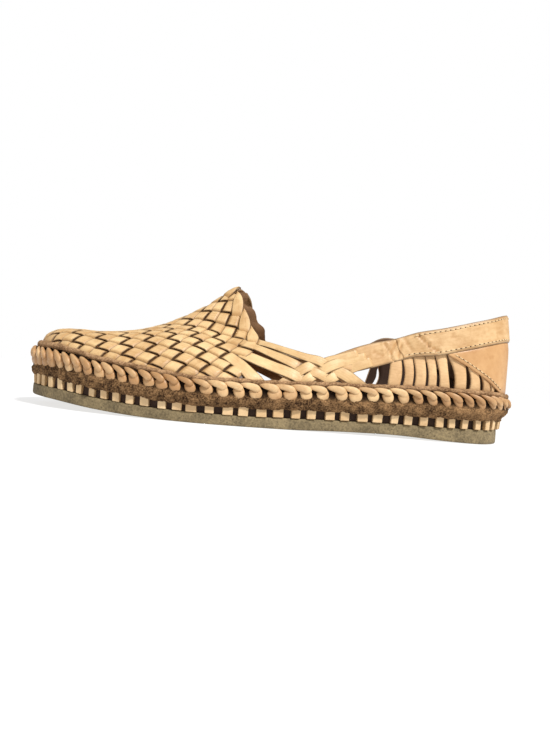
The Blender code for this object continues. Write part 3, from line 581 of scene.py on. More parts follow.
def throatX(s):
    return smoothRows(throatRows, s)[..., 0]


ridgeGrid = {"step": 0.5, "end": 60.0, "levelAt": 45.0, "last": 58.0}  # lengths down the skin


def ridgeTables():
    # How much longer the skin is than the plain dome, by x, with the raised ridge counted in.
    step, end = ridgeGrid["step"], ridgeGrid["end"]
    xs, runs = np.arange(-100.0, 13.0, 1.0), np.arange(0.0, end + step, step)
    points = vampPoint(xs[:, None], runs[None, :])
    steps = np.linalg.norm(np.diff(points, axis=1), axis=2)
    real = np.concatenate([np.zeros((len(xs), 1)), np.cumsum(steps, axis=1)], 1)
    low = int(ridgeGrid["levelAt"] / step)
    extra = real[:, low] - runs[low]
    targets = np.arange(0.0, end, step)
    plain = np.array([np.interp(targets, row, runs) for row in real])
    return xs, targets, extra, plain


ridgeXs, ridgeTargets, ridgeExtra, ridgePlain = ridgeTables()


def plainRun(x, sigma):
    # Turns a length over the real skin, kept level low on the lateral side, into one over the plain dome.
    extra = np.interp(x, ridgeXs, ridgeExtra)
    over = sigma + extra
    target = np.where(over >= 0, over, -over)
    row = np.clip(x - ridgeXs[0], 0, len(ridgeXs) - 1.001)
    column = np.clip(target / ridgeGrid["step"], 0, len(ridgeTargets) - 1.001)
    p, q = row.astype(int), column.astype(int)
    f, g = row - p, column - q
    near = ridgePlain[p, q] * (1 - g) + ridgePlain[p, q + 1] * g
    far = ridgePlain[p + 1, q] * (1 - g) + ridgePlain[p + 1, q + 1] * g
    plain = np.where(target < ridgeGrid["last"], near * (1 - f) + far * f, target - extra)
    return np.where(over >= 0, plain, -plain)


drift = {  # how the weave's lines draw together towards the throat
    "along": 6.0, "aheadFrom": 5.7, "aheadMost": 3.3, "ahead": (0.2, 0.62), "backBy": 2.4, "backAt": 4.4,
    "backWide": 0.9, "upFrom": 5.0, "upMost": 4.0, "up": 0.77,
}


def risen(d, most):
    # Zero below nought, then rising smoothly, held at most.
    return np.minimum(0.5 * (d + np.sqrt(d * d + 0.3)) - 0.1, most) * (d > -1.2)


def weavePlace(i, j):
    # Where a point of the weave lies: x, and the run over the plain dome.
    i, j = np.broadcast_arrays(np.asarray(i, float), np.asarray(j, float))
    place = weave["start"] + i[..., None] * weave["forwardStep"] + j[..., None] * weave["backStep"]
    along = np.clip(i, 0.0, drift["along"])
    ahead = drift["ahead"][0] + drift["ahead"][1] * along
    x = place[..., 0] - risen(j - drift["aheadFrom"], drift["aheadMost"]) * ahead * (i > -1)
    last = np.clip(i - drift["along"] + 1.0, 0, 1)
    x = x + drift["backBy"] * last * np.exp(-((j - drift["backAt"]) / drift["backWide"]) ** 2)
    sigma = place[..., 1] - drift["up"] * risen(j - drift["upFrom"], drift["upMost"]) * along
    return np.stack([x, plainRun(x, sigma)], -1)


def vampCells():
    span = np.arange(-weave["reach"], weave["reach"])
    i, j = np.meshgrid(span, span, indexing="ij")
    corners = [weavePlace(i + u, j + v) for u in (0, 1) for v in (0, 1)]
    ahead = np.max([throatX(c[..., 1]) - c[..., 0] for c in corners], axis=0)
    middle = weavePlace(i + 0.5, j + 0.5)
    near = (ahead > weave["ahead"]) & (np.abs(middle[..., 1]) < 90) & (middle[..., 0] > -150)
    cells = set()
    where = np.argwhere(near)
    x, s = middle[near][:, 0], middle[near][:, 1]
    room = vampRoom(np.minimum(x, 0.0), s)
    for (p, q), left in zip(where, room):
        i, j = int(span[p]), int(span[q])
        if left > -weave["tuck"] and i <= weave["lastCell"] and (i < weave["lastCell"] or j < bentRow):
            cells.add((i, j))
    return cells


def eased(t):
    t = np.clip(t + 0.5, 0.0, 1.0)
    return t * t * (3 - 2 * t)


def ramp(x, over):
    # Rises smoothly from 0 to 1 round a middle, over a width.
    middle, width = over
    return eased((x - middle) / width)


def overUnder(t, parity):
    # Height of a strip that goes over every other cell, and how much painted shade it takes where it dives.
    q, turn = np.mod(t + parity, 2.0), weave["turn"]
    late, early = weave["late"], 1.0 - weave["early"]
    over = eased((q - late) / turn) - eased((q - early) / turn) + eased((q - 2 - late) / turn)
    return 2 * over - 1, 0.5 * (2 * over - 1 + np.cos(math.pi * (q - 0.5)))


def drawnForward(place):
    x, s = place[..., 0], place[..., 1]
    return np.minimum(x, throatX(s)), s


def bentDown(t, across):
    # The lowest forward strip leaves the weave's own line and turns down to the piping.
    held = np.clip(t, bendRows[0][0] + 0.1, bendRows[-1][0] - 0.1)
    centre = smoothRows(bendRows, t)
    ahead = smoothRows(bendRows, held + 0.1) - smoothRows(bendRows, held - 0.1)
    ahead /= np.linalg.norm(ahead, axis=-1, keepdims=True)
    aside = np.stack([ahead[..., 1], -ahead[..., 0]], -1)
    bent = centre + aside * ((across - bentRow - 0.5) * bentWidth)[..., None]
    share = np.clip((t - bendRows[0][0]) / 1.2, 0.0, 1.0)[..., None]
    share = share * share * (3 - 2 * share)
    return weavePlace(t, across) * (1 - share) + bent * share


def weaveStrips(name, cells, along, materials):
    bm = newPiece()
    own = 0 if along == "forward" else 1
    shift = weave["shift"] * (1 if own == 0 else -1)

    def spotAt(t, across, row):
        if own == 1:
            return weavePlace(across, t)
        return bentDown(t, across) if row == bentRow else weavePlace(t, across)
    for row in sorted({cell[1 - own] for cell in cells}):
        line = sorted(cell[own] for cell in cells if cell[1 - own] == row)
        for run in np.split(np.array(line), np.where(np.diff(line) > 1)[0] + 1):
            bent = row == bentRow and own == 0
            farEnd = run[-1] + 1.0 + 1.3 * (row == bentRow - 1 and own == 0)
            middle = np.linspace(run[0] - 0.25, bendRows[-1][0] if bent else farEnd, 200)
            centre = spotAt(middle, np.full(200, row + 0.5), row)
            short = 0.3 - weave["shy"] * (1 - ramp(centre[:, 1], weave["shyRamp"]))
            inside = middle[centre[:, 0] < throatX(centre[:, 1]) + short]
            if len(inside) < weave["shortest"]:
                continue
            first, last = inside[0], inside[-1]
            tone = rng.uniform(-1, 1)

            def place(u, v, row=row, first=first, last=last, bent=bent):
                t = first + u * (last - first)
                spot = spotAt(t, row + 0.5 + shift + (v - 0.5) * weave["width"], row)
                x, s = (spot[..., 0], spot[..., 1]) if bent else drawnForward(spot)
                height, dip = overUnder(np.minimum(t, bentOver) if bent else t, row + own)
                room = vampRoom(np.minimum(x, 0.0), s)
                calm = np.clip((room + 1.5) / 5.0, 0.0, 1.0)
                crown = weave["crown"] * (1 - np.abs(2 * v - 1) ** 3.0)
                out = height * weave["height"] * calm + crown * (0.4 + 0.6 * calm) - (1 - calm) * 0.5
                return vampSkin(x, s, out), dip
            columns = max(int((last - first) * weave["perCell"]), 3)
            addPatch(bm, columns, 6, place, tone, (last - first, 1.0), edgeSpacing, flip=own == 1)
    return makePiece(name, bm, materials, ("upper",), weave["thick"])


leaves = {
    "lift": 0.95, "thick": 1.0, "medialShift": 4.2,
    "rows": (  # base x and s, tip x and s, half width, bulge of the rear side
        (-31.0, 3.2, -22.6, -1.2, 1.7, 0.4), (-22.9, 10.2, -23.8, 3.2, 2.5, 0.9),
        (-18.0, 15.8, -19.2, 7.9, 2.5, 1.2), (-12.6, 26.3, -14.3, 12.6, 2.5, 1.3),
    ),
}


def throatLeaves(materials):
    # The pointed ends of the back strips that stand round the throat.
    bm = newPiece()
    for side in (lateral, medial):
        for k, (baseX, baseS, tipX, tipS, half, bulge) in enumerate(leaves["rows"]):
            if side < 0 and k == 0:
                continue
            shift = leaves["medialShift"] if side < 0 else 0.0

            def place(u, v, k=k):
                across = 2 * v - 1
                wide = half * (1 - np.clip((u - 0.35) / 0.65, 0, 1) ** 2.2) + 0.05
                if k == 0:
                    wide = half * (1 - 0.97 * u ** 3) * (0.7 + 0.3 * np.sin(math.pi * np.clip(u * 1.2, 0, 1)))
                swell = bulge * np.sin(math.pi * u) * (across > 0)
                x = baseX + (tipX - baseX) * u + across * wide + swell + shift
                s = baseS + (tipS - baseS) * u + (0.0 if k else 1.0) * across * wide
                crown = 0.35 * (1 - np.abs(across) ** 3)
                sink = 1.3 * np.clip((0.16 - u) / 0.16, 0, 1) ** 2
                out = leaves["lift"] + crown - sink + 0.35 * np.sin(math.pi * u)
                # Painted shade where the leaf tucks in at its base and towards its tip.
                dip = np.clip(np.minimum(u * 5 - 0.2, (1.02 - u) * 6), -0.5, 1)
                return vampSkin(x, side * s, out), dip
            addPatch(bm, 12, 6, place, rng.uniform(-1, 1), (1.5, 1.0), edgeSpacing, flip=side > 0)
    return makePiece("throat_leaves", bm, materials, ("upper",), leaves["thick"])


rimRows = (  # s, x of the scalloped rim on the medial side of the throat
    (-30, -5.0), (-24, -4.5), (-19, -5.6), (-15.5, -7.2), (-13, -7.6), (-11, -8.6), (-9.7, -12.2),
    (-8, -13.4),
    (-7, -14.9), (-6, -18.9), (-4, -18.8), (-2, -21.4), (0, -23.6), (1.5, -25.0),
)
rim = {"out": -1.5, "thick": 1.1, "depth": 9.0}


def throatRim(materials):
    bm = newPiece()

    def place(u, v):
        s = rimRows[-1][0] + (rimRows[0][0] - rimRows[-1][0]) * u
        x = smoothRows(rimRows, s)[..., 0] - rim["depth"] * (1 - v)
        out = rim["out"] * (1 - np.clip(v - 0.4, 0, 1) / 0.6 * 0.8) * np.clip(-s / 4.0, 0.45, 1)
        return vampSkin(x, s, out), np.where(v > 0.97, 0.3, 1.0)
    addPatch(bm, 90, 6, place, 0.0, (5.0, 1.0), (0.0, 0.3, 0.55, 0.8, 0.92, 0.98, 1.0), flip=True)
    return makePiece("throat_rim", bm, materials, ("upper",), rim["thick"])


lining = {"depth": 76.0, "spread": 62.0, "stop": -12.0, "short": (3.0, 7.0), "under": 1.5}


def vampLining(material):
    # A plain brown sheet close under the weave, from one side of the throat round the toe to the other.
    bm = newPiece()

    def skin(across, depth):
        share = np.clip(depth / lining["depth"], 0.0, 1.0)
        short = np.interp(share, (0.4, 0.6), lining["short"])
        near, far = (
            sideLength(side, np.minimum(throatX(side * lining["spread"] * share) - short, lining["stop"]))
            for side in (lateral, medial))
        foot = outline.at(near + (far - outline.total - near) * across)[2]
        centre, height, square = dome(foot)
        plan = centre + (foot - centre) * share[..., None]
        top = level("randTop", foot[..., 0])
        lift = ridge(centre, top + height, np.linalg.norm(plan - centre, axis=-1))
        return np.concatenate([plan, (top + height * (1 - share ** square) + lift)[..., None]], -1)

    def place(u, v):
        return pushOut(skin, u, 1.0 + (lining["depth"] - 1.0) * v, lining["under"], 0.02), 1.0
    addPatch(bm, 110, 26, place, 0.0, (30.0, 10.0))
    return makePiece("vamp_lining", bm, (material,), ("upper",))


# Crossing straps and fingers beside the opening.
straps = {
    "thick": 1.1, "crown": 0.3, "height": 0.6, "step": 1.3,
    "rows": {  # x, z, width, height: 1 over what it crosses, -1 under
        "strapTop": ((-15, 43.4, 2.6, -1), (-10, 42.1, 2.6, -0.8), (-6, 41.0, 2.8, 0.2),
                     (6.7, 37.7, 3.2, 0.1),
                     (15, 35.5, 3.8, 0.4), (21.7, 34.0, 4.6, 1), (26.2, 32.3, 5.0, -0.9), (30, 30.5, 5.6, 0),
                     (34.5, 28.4, 5.9, 1), (39, 26.0, 5.8, 0.5), (48, 20.5, 5.2, -1)),
        "strapMiddle": ((-21, 41.6, 3.0, -1), (-16, 40.3, 3.2, 0.6), (-11, 38.7, 3.0, 0.8),
                        (-0.6, 35.4, 3.9, 0.2),
                        (7, 32.7, 4.4, 0.2), (14.4, 30.0, 4.6, -1), (20.5, 28.1, 4.6, 0.9),
                        (27.1, 25.6, 4.6, -1), (38, 19.5, 4.6, -1)),
        "strapLow": ((-18, 35.2, 4.4, 0), (-16, 34.6, 4.6, 0), (-12, 33.2, 4.8, 0.1), (0, 29.3, 5.0, 0.2),
                     (9.2, 26.3, 5.2, 0.9), (15.8, 23.8, 5.0, -0.9), (20, 21.8, 5.0, 0), (27, 18, 5, 0)),
        "fingerFront": ((40, 39.4, 4.8, 0.55), (31, 36.2, 4.8, 0.5), (27, 34.9, 4.8, 0.3),
                        (22.4, 33.2, 4.8, -1),
                        (14.6, 30.2, 4.8, 0.9), (9.1, 26.2, 4.8, -1), (4.5, 22.2, 4.6, 0), (0.5, 18, 4.6, 0)),
        "fingerMiddle": ((44, 38.2, 5.0, 0.5), (34, 35.2, 5.0, 0.5), (25.8, 31.6, 5.0, 1),
                         (21.0, 28.4, 4.9, -1),
                         (16.4, 25.2, 4.8, 1), (12.6, 22.0, 4.6, 0), (8.5, 18, 4.6, 0)),
        "fingerBack": ((47, 36.2, 5.0, 0.5), (39, 33.0, 5.0, 0.4), (32.4, 29.3, 4.9, -1),
                       (27.4, 26.0, 4.8, 0.9),
                       (23.9, 22.8, 4.6, 0), (19, 18, 4.6, 0)),
        "strapFoot": ((-20, 34.0, 5.0, -1), (-12, 31.0, 4.8, -0.6), (-4, 27.5, 4.6, -0.6),
                      (4, 24.0, 5.2, -0.6),
                      (12, 19.4, 5.4, -0.5)),
    },
    "medialOnly": ("strapFoot",),
}


def fineRows(rows, step):
    rows = np.array(rows, float)
    lengths = np.concatenate([[0.0], np.cumsum(np.linalg.norm(np.diff(rows[:, :2], axis=0), axis=1))])
    table = np.column_stack([lengths, rows])
    return smoothRows(table, np.linspace(0.0, lengths[-1], max(int(lengths[-1] / step), 2) + 1)), lengths[-1]


def addStrap(bm, side, rows, tone):
    line, length = fineRows(rows, straps["step"])
    steps = np.gradient(line[:, :2], axis=0)
    steps /= np.linalg.norm(steps, axis=1)[:, None]
    places = np.linspace(0.0, 1.0, len(line))

    def place(u, v):
        x, z, width, height = (np.interp(u, places, line[:, k]) for k in range(4))
        stepX, stepZ = (np.interp(u, places, steps[:, k]) for k in (0, 1))
        shift = (v - 0.5) * width
        crown = straps["crown"] * (1 - np.abs(2 * v - 1) ** 3.0)
        low = np.clip((z - level("randTop", x) + 1.0) / 4.0, 0.0, 1.0)
        out = (height * straps["height"] + crown) * low - (1 - low) * 0.6
        # Painted shade where the strap runs under another.
        dip = np.clip(4.0 * height + 3.0, -0.3, 1.0)
        return sideSkin(side, x - stepZ * shift, z + stepX * shift, out), dip
    addPatch(bm, len(line) - 1, 6, place, tone, (length / 7.0, 1.0), edgeSpacing, flip=side < 0)


def makeStraps(materials):
    for side, sideName in ((lateral, "lateral"), (medial, "medial")):
        for group in ("strap", "finger"):
            bm = newPiece()
            for rowName, rows in straps["rows"].items():
                if rowName.startswith(group) and (side < 0 or rowName not in straps["medialOnly"]):
                    addStrap(bm, side, rows, rng.uniform(-1, 1))
            makePiece(f"{sideName}_{group}s", bm, materials, ("upper",), straps["thick"])


# Collar band, quarters and heel.
bandRows = (  # x, top, foot
    (25, 36.2, 33.2), (31, 39.2, 31.6), (38, 42.4, 30.6), (47, 45.9, 33.1), (60, 50.6, 37.7),
    (67, 52.4, 40.0), (80, 55.4, 42.1), (95, 59.7, 46.2), (107, 63.0, 49.6), (118, 66.4, 52.4),
    (127, 68.6, 54.0),
)
slotRows = (  # top x, top z, foot x, foot z, top width, foot width, extra width half way
    (62.4, 38.4, 62.0, 24.0, 0.8, 1.3, 0.3), (67.6, 40.0, 68.0, 24.0, 0.4, 1.0, 0.3),
    (73.4, 41.2, 74.5, 24.0, 0.4, 1.2, 0.3), (78.3, 42.0, 80.2, 24.0, 0.5, 1.5, 0.5),
    (84.3, 43.2, 87.6, 24.2, 0.6, 1.7, 2.0), (94.8, 38.6, 95.4, 24.2, 1.4, 1.7, 1.2),
    (102.5, 35.0, 103.4, 24.2, 1.2, 1.5, 0.8), (109.0, 31.4, 109.8, 24.2, 0.8, 0.8, 0.3),
)
medialSlot = (61.9, 34.4, 59.9, 25.0, 1.0, 2.0, 0.2)
counterRows = ((84.0, 43.0), (96.0, 37.3), (108.0, 31.3), (118.0, 25.4))  # x, z of its front edge
rear = {
    "seam": 61.0, "bandFront": 27.0, "bandFace": 1.75, "bandThick": 1.3, "frontFace": 0.35, "frontThick": 1.4,
    "roll": 0.5, "seamStep": 1.1, "seamRamp": (7.0, 14.0), "seamLean": 5.0, "seamLap": 2.5,
    "liningStart": 54.0, "liningFace": -0.35, "liningThick": 1.3, "liningLap": 1.5, "liningDrop": 13.4,
    "liningRamp": (115.0, 8.0), "counterStart": 84.6, "counterFace": 1.7, "counterSunk": 0.5,
    "counterThick": 1.2, "counterTuck": 2.6, "counterRamp": (107.0, 30.0), "counterLow": (-38.0, 32.0),
}
quarters = {
    "start": 56.0, "end": 113.0, "foot": 15.0, "thick": 1.3, "pitch": 6.0, "lap": 2.5, "sunk": 0.3,
    "crown": 0.25, "bulge": 0.35, "lateralFront": (55.7, 0.08, 26.0),  # x, lean, height where x counts
    "medialFront": (54.8, 0.244, 26.7),
}


bandUneven = {"wide": 8.0, "sides": ((58.0, -1.3), (63.0, 2.5))}  # lateral, then medial: x, by how much


def bandTop(x, side=0.0):
    # The medial side stands a little higher behind the seam, and the lateral side sags there.
    sag, rise = (by * np.exp(-((x - at) / bandUneven["wide"]) ** 2) for at, by in bandUneven["sides"])
    return smoothRows(bandRows, x)[..., 0] + np.where(side > 0, sag, np.where(side < 0, rise, 0.0))


def bandFoot(x):
    return smoothRows(bandRows, x)[..., 1]


def counterFront(x):
    return np.interp(x, *np.array(counterRows).T)


def turnedEdge(v, thick):
    # How far a wall draws in at its upper and lower edges, so that they look rounded.
    return -thick * (np.abs(2 * v - 1) ** 12)


creaseRows = (  # x and z of one end, x and z of the other, depth, half width
    (53.0, 45.6, 56.6, 41.0, 0.55, 0.6), (59.4, 47.6, 56.2, 41.0, 0.5, 0.6),
    (61.4, 45.4, 60.2, 39.2, 0.4, 0.6),
    (53.4, 42.2, 57.8, 37.6, 0.5, 0.6), (48.0, 41.0, 54.5, 39.5, 0.3, 0.8),
    (69.6, 51.0, 74.5, 46.6, 0.7, 0.7),
    (74.5, 46.6, 80.0, 43.6, 0.7, 0.7),
    (63.0, 49.0, 66.5, 44.0, 0.2, 0.9), (86.0, 52.0, 92.0, 50.0, 0.15, 1.2),
)


def creases(x, z):
    # Folds where the band gathers before its seam, over slight waves elsewhere.
    depth = 0.10 * np.sin(x * 0.33 + z * 0.2) * np.sin(x * 0.11 + 1.0)
    for x1, z1, x2, z2, deep, wide in creaseRows:
        along = (x - x1) * (x2 - x1) + (z - z1) * (z2 - z1)
        t = np.clip(along / ((x2 - x1) ** 2 + (z2 - z1) ** 2), 0.0, 1.0)
        away = np.hypot(x - x1 - t * (x2 - x1), z - z1 - t * (z2 - z1))
        trough, ridgeBeside = np.exp(-(away / wide) ** 2), np.exp(-((away - 2 * wide) / wide) ** 2)
        depth = depth - deep * trough + 0.5 * deep * ridgeBeside
    return depth


def bandWall(name, low, high, ends, columns, rows, face, thick, materials, node, wrinkled=0.0,
             lean=0.0):
    # A wall between two heights given by x and side, along the outline from one end to the other.
    start, end = ends
    bm = newPiece()

    def place(u, v):
        a = start + u * (end - start)
        tilt = lean * (0.5 - v) + 0.4 * np.sin(9 * v) * (lean != 0)
        a = a + tilt * (np.clip(1 - u * 12, 0, 1) - np.clip(1 - (1 - u) * 12, 0, 1))
        foot = outline.at(a)[2]
        x, side = foot[:, 0], -np.sign(foot[:, 1])
        z = low(x, side) + (high(x, side) - low(x, side)) * v
        fold = creases(x, z) * wrinkled
        settled = face(x, z) if callable(face) else face
        # Painted shade in the crease troughs.
        dip = np.clip(1.0 + 1.6 * fold, 0.15, 1.0)
        return wallSkin(a, z, settled + turnedEdge(v, rear["roll"]) + fold), dip
    spacing = 0.5 - 0.5 * np.cos(np.linspace(0, math.pi, rows + 1))
    addPatch(bm, columns, rows, place, 0.2, (abs(end - start) / 7.0, 1.0), spacing, flip=end < start)
    return makePiece(name, bm, materials, (node,), thick)


def slotEdge(row, z, side):
    # x of one side of a slot at height z.
    topX, topZ, footX, footZ, topWidth, footWidth, belly = row
    t = np.clip((topZ - z) / (topZ - footZ), 0.0, 1.2)
    swell = np.sin(math.pi * np.clip(t, 0, 1))
    width = (topWidth + (footWidth - topWidth) * t + belly * swell) * (z < topZ + 0.5)
    return topX + (footX - topX) * t + swell + side * width / 2


def quarterStrips(side, sideName, materials):
    # The upright strips between the slots; the medial side has three slots fewer.
    bm = newPiece()
    slots = slotRows if side > 0 else (medialSlot,) + slotRows[3:4] + slotRows[5:]
    count = len(slots)
    for k in range(count + 1):
        tone = rng.uniform(-1, 1)

        def place(u, v, k=k):
            steps = k + 2 * (side < 0 and k > 0) + 0.5
            top = bandFoot(quarters["start"] + quarters["pitch"] * steps) + quarters["lap"]
            z = quarters["foot"] + (top - quarters["foot"]) * v
            if k == 0:
                frontX, lean, frontZ = quarters[f"{sideName}Front"]
                left = frontX + lean * (z - frontZ)
            else:
                left = slotEdge(slots[k - 1], z, 1)
            right = slotEdge(slots[k], z, -1) if k < count else np.full(z.shape, quarters["end"])
            x = left + (right - left) * u
            crown = quarters["crown"] * (1 - np.abs(2 * u - 1) ** 3)
            bulge = quarters["bulge"] * np.sin(math.pi * np.clip((z - 24) / 16, 0, 1)) * (1 if k % 2 else 0.4)
            return wallSkin(sideLength(side, x), z, crown + bulge - quarters["sunk"] - counterTuck(x, z)), 1.0
        made = addPatch(bm, 6, 14, place, tone, (1.0, 3.0), None, flip=side < 0)
        for vert in made:
            vert[bm.verts.layers.float["side"]] = 0.5
    return makePiece(f"{sideName}_quarter_strips", bm, materials, ("upper",), quarters["thick"])


def counterTuck(x, z):
    # How far the counter draws in towards its foot at the back of the heel.
    return rear["counterTuck"] * ramp(x, rear["counterRamp"]) * ramp(-z, rear["counterLow"])


def makeRear():
    def around(x):
        return sideLength(lateral, x), sideLength(medial, x)

    def bandLow(x, side):
        return bandFoot(x)

    def counterSkin(x, z):
        return rear["counterFace"] - rear["counterSunk"] - counterTuck(x, z)

    def bandFace(x, z):
        return rear["bandFace"] - rear["seamStep"] * (1 - ramp(x - rear["seam"], rear["seamRamp"]))
    bandWall("collar_band", bandLow, bandTop, around(rear["seam"] - 0.5), 320, 14, bandFace,
             rear["bandThick"], (plainTan, fleshSide), "heel_band", 1.0, rear["seamLean"])

    def liningLow(x, side):
        behind = counterFront(x) + rear["liningLap"] - rear["liningDrop"] * ramp(x, rear["liningRamp"])
        return np.where(x > 80, np.minimum(behind, bandFoot(x) + 1.0), bandFoot(x) + 1.0)
    # The heel lining takes the darker lining colour: painted shade inside the heel.
    bandWall("heel_lining", liningLow, lambda x, side: bandTop(x, side) - 0.5, around(rear["liningStart"]),
             160, 8, lambda x, z: rear["liningFace"] - counterTuck(x, z), rear["liningThick"],
             (shadedLining,), "upper")
    bandWall("counter", lambda x, side: np.maximum(counterFront(x), level("randTop", x) - 0.5),
             lambda x, side: bandFoot(x) + 0.4, around(rear["counterStart"]), 120, 8, counterSkin,
             rear["counterThick"], (counterLeather, fleshSide), "heel_counter")
    for side, sideName in ((lateral, "lateral"), (medial, "medial")):
        ends = sideLength(side, rear["bandFront"]), sideLength(side, rear["seam"] + rear["seamLap"])
        # The band fronts' inner sides take the darker lining colour: painted shade.
        bandWall(f"{sideName}_band_front", bandLow, bandTop, ends, 90, 14, rear["frontFace"],
                 rear["frontThick"], (plainTan, shadedLining), "upper", 1.0)
        # The strips' backs are near-black: painted shade seen through the slots.
        quarterStrips(side, sideName, (quarterLeather, gapShadeLeather))


stitches = {
    "pitch": 2.6, "inset": 1.6, "proud": 0.05, "counter": (87.5, 117.0),  # x from and to
    "thread": (0.95, 0.30, 0.26), "hole": (0.38, 0.28, 0.08),  # half length, width and height
}


def addStitch(bm, centre, along, out, size):
    # One short thread: a flattened ball laid along the seam.
    across = np.cross(out, along)
    axes = np.array([along * size[0], across * size[1], out * size[2]])
    addTurned(bm, lambda b: bmesh.ops.create_uvsphere(b, u_segments=8, v_segments=6, radius=1.0),
              lambda p: (centre + p[:, [2, 0, 1]] @ axes, 1.0), rng.uniform(-1, 1))


def seamStitches(name, rowsAt, pitchAlong, face, nodes, tuck=0.0):
    # Stitches and, between them, needle holes as dark dots, which are painted shade in the holes; along lines
    # given as points (a, z).
    threads, holes = newPiece(), newPiece()
    for line in rowsAt:
        a, z = np.array(line).T
        tucked = face - tuck * counterTuck(outline.at(a)[2][:, 0], z)
        points = wallSkin(a, z, tucked)
        outs = wallSkin(a, z, tucked + 1.0) - points
        runs = np.concatenate([[0.0], np.cumsum(np.linalg.norm(np.diff(points, axis=0), axis=1))])
        for run in np.arange(pitchAlong / 2, runs[-1], pitchAlong):
            centre, ahead, out = (np.array([np.interp(run + step, runs, t[:, k]) for k in range(3)])
                                  for step, t in ((0, points), (0.6, points), (0, outs)))
            along = (ahead - centre) / np.linalg.norm(ahead - centre)
            addStitch(threads, centre, along, out, stitches["thread"])
            hole = centre + along * pitchAlong / 2
            addStitch(holes, hole, along, out, stitches["hole"])
    makePiece(name, threads, (threadFinish,), nodes)
    makePiece(name + "_holes", holes, (gapShadeLeather,), nodes)


def makeStitching():
    inset = stitches["inset"]
    a = np.linspace(sideLength(lateral, rear["seam"] + 1), sideLength(medial, rear["seam"] + 1), 240)
    x = outline.at(a)[2][:, 0]
    side = -np.sign(outline.at(a)[2][:, 1])
    top, foot = x > rear["seam"] + 6.0, x > rear["seam"] + 1.5
    lines = [np.column_stack([a, bandTop(x, side) - inset])[top],
             np.column_stack([a, bandFoot(x) + inset])[foot]]
    seamStitches("band_stitches", lines, stitches["pitch"], rear["bandFace"] + stitches["proud"],
                 ("heel_band",))
    fronts = []
    for side in (lateral, medial):
        x = np.linspace(*stitches["counter"], 60)
        fronts.append(np.column_stack([sideLength(side, x), counterFront(x) + inset + 0.4]))
    face = rear["counterFace"] - rear["counterSunk"] + stitches["proud"]
    seamStitches("counter_stitches", fronts, stitches["pitch"], face, ("heel_counter",), 1.0)


# Rand, piping, braid, tabs and sole. A ramp is the middle and the width of a smooth rise along the shoe.
welt = {
    "columns": 10, "rows": 20, "tabProud": 1.2, "crumb": 0.13, "toeLumps": 0.8,
    "heelTuck": 2.4, "toeTuck": 1.6, "soleTuck": 2.4, "undercut": 3.6, "endTuck": 1.1,
    "tuckRamp": (107.0, 34.0), "soleRamp": (112.0, 24.0), "endRamp": (112.0, 26.0),
    "toeRamp": (105.0, 30.0), "pipingRamp": (112.0, 30.0), "lumpRamp": (40.0, 60.0),
    "piping": 1.15, "toePiping": 0.7, "pipingOut": 1.5, "pipingDrop": 0.8, "pipingPoints": 12,
    # dark: v and brightness of painted shade on the rand, darker at its foot and across its upper part behind
    # the braid.
    "dark": ((0.0, 0.6), (0.05, 1.0), (0.66, 1.0), (0.78, 0.35), (0.88, 0.0), (1.0, 0.0)),  # v, brightness
}
turnRows = (  # x, spacing of the braid's turns, spacing of the tabs, tab width
    (-130, 5.6, 6.6, 3.0), (-95, 5.9, 6.6, 3.4), (-60, 6.2, 7.2, 4.2), (-25, 7.6, 8.0, 4.7),
    (5, 8.0, 8.3, 5.0),
    (40, 8.0, 8.2, 4.6), (58, 7.6, 7.8, 4.2), (75, 6.5, 7.2, 3.8), (100, 6.0, 6.7, 3.3), (125, 5.7, 6.2, 2.8),
)


def spacedPlaces(column, jitter):
    # Lengths round the shoe at the spacing that the table gives for each x.
    a = np.linspace(0.0, outline.total, 2000)
    x = outline.at(a)[2][:, 0]
    rate = 1 / smoothRows(turnRows, x)[..., column]
    done = np.concatenate([[0.0], np.cumsum((rate[1:] + rate[:-1]) / 2 * np.diff(a))])
    count = int(round(done[-1]))
    shares = (np.arange(count) + 0.5 + rng.uniform(-jitter, jitter, count)) * done[-1] / count
    return np.interp(shares, done, a)


def footPoint(a, out, z):
    _, normal, foot = outline.at(a)
    return np.concatenate([foot + normal * np.asarray(out)[..., None], np.asarray(z)[..., None]], -1)


def edgePoint(a, out, z):
    edge, normal, _ = outline.at(a)
    return np.concatenate([edge + normal * np.asarray(out)[..., None], np.asarray(z)[..., None]], -1)


def tabFace(x):
    return welt["tabProud"] + 0.35 * level("flare", x)


def heelTuck(x):
    return welt["heelTuck"] * ramp(x, welt["tuckRamp"])


def soleTuck(x):
    return welt["soleTuck"] * ramp(x, welt["soleRamp"])


def underCut(x):
    # How far the rand's lower part slants in at the back of the heel.
    return welt["undercut"] * ramp(x, welt["endRamp"])


def ripple(a, seed, scale):
    # Smooth unevenness round the shoe that closes on itself.
    turn = np.mod(a, outline.total) / outline.total * 2 * math.pi
    waves = [(n, np.random.default_rng(seed + n).uniform(0, 6.28)) for n in (7, 13, 23, 37, 61, 97)]
    return scale * sum(np.sin(n * turn + phase) for n, phase in waves) / len(waves) * 1.6


def ringPatch(bm, columns, profile, rows, crumb=0.0, dark=((0.0, 1.0), (1.0, 1.0))):
    # A ring round the whole shoe; profile(a, v) gives its points, and dark how much painted shade it takes at
    # each v.
    def place(u, v):
        points = profile(u * outline.total, v)
        rough = rng.normal(0.0, 1.0, points.shape) * crumb * ((u > 0) & (u < 1))[:, None]
        return points + rough, np.interp(v, *np.array(dark).T)
    addPatch(bm, columns, rows, place, 0.0, (float(columns) / 6, 1.0))


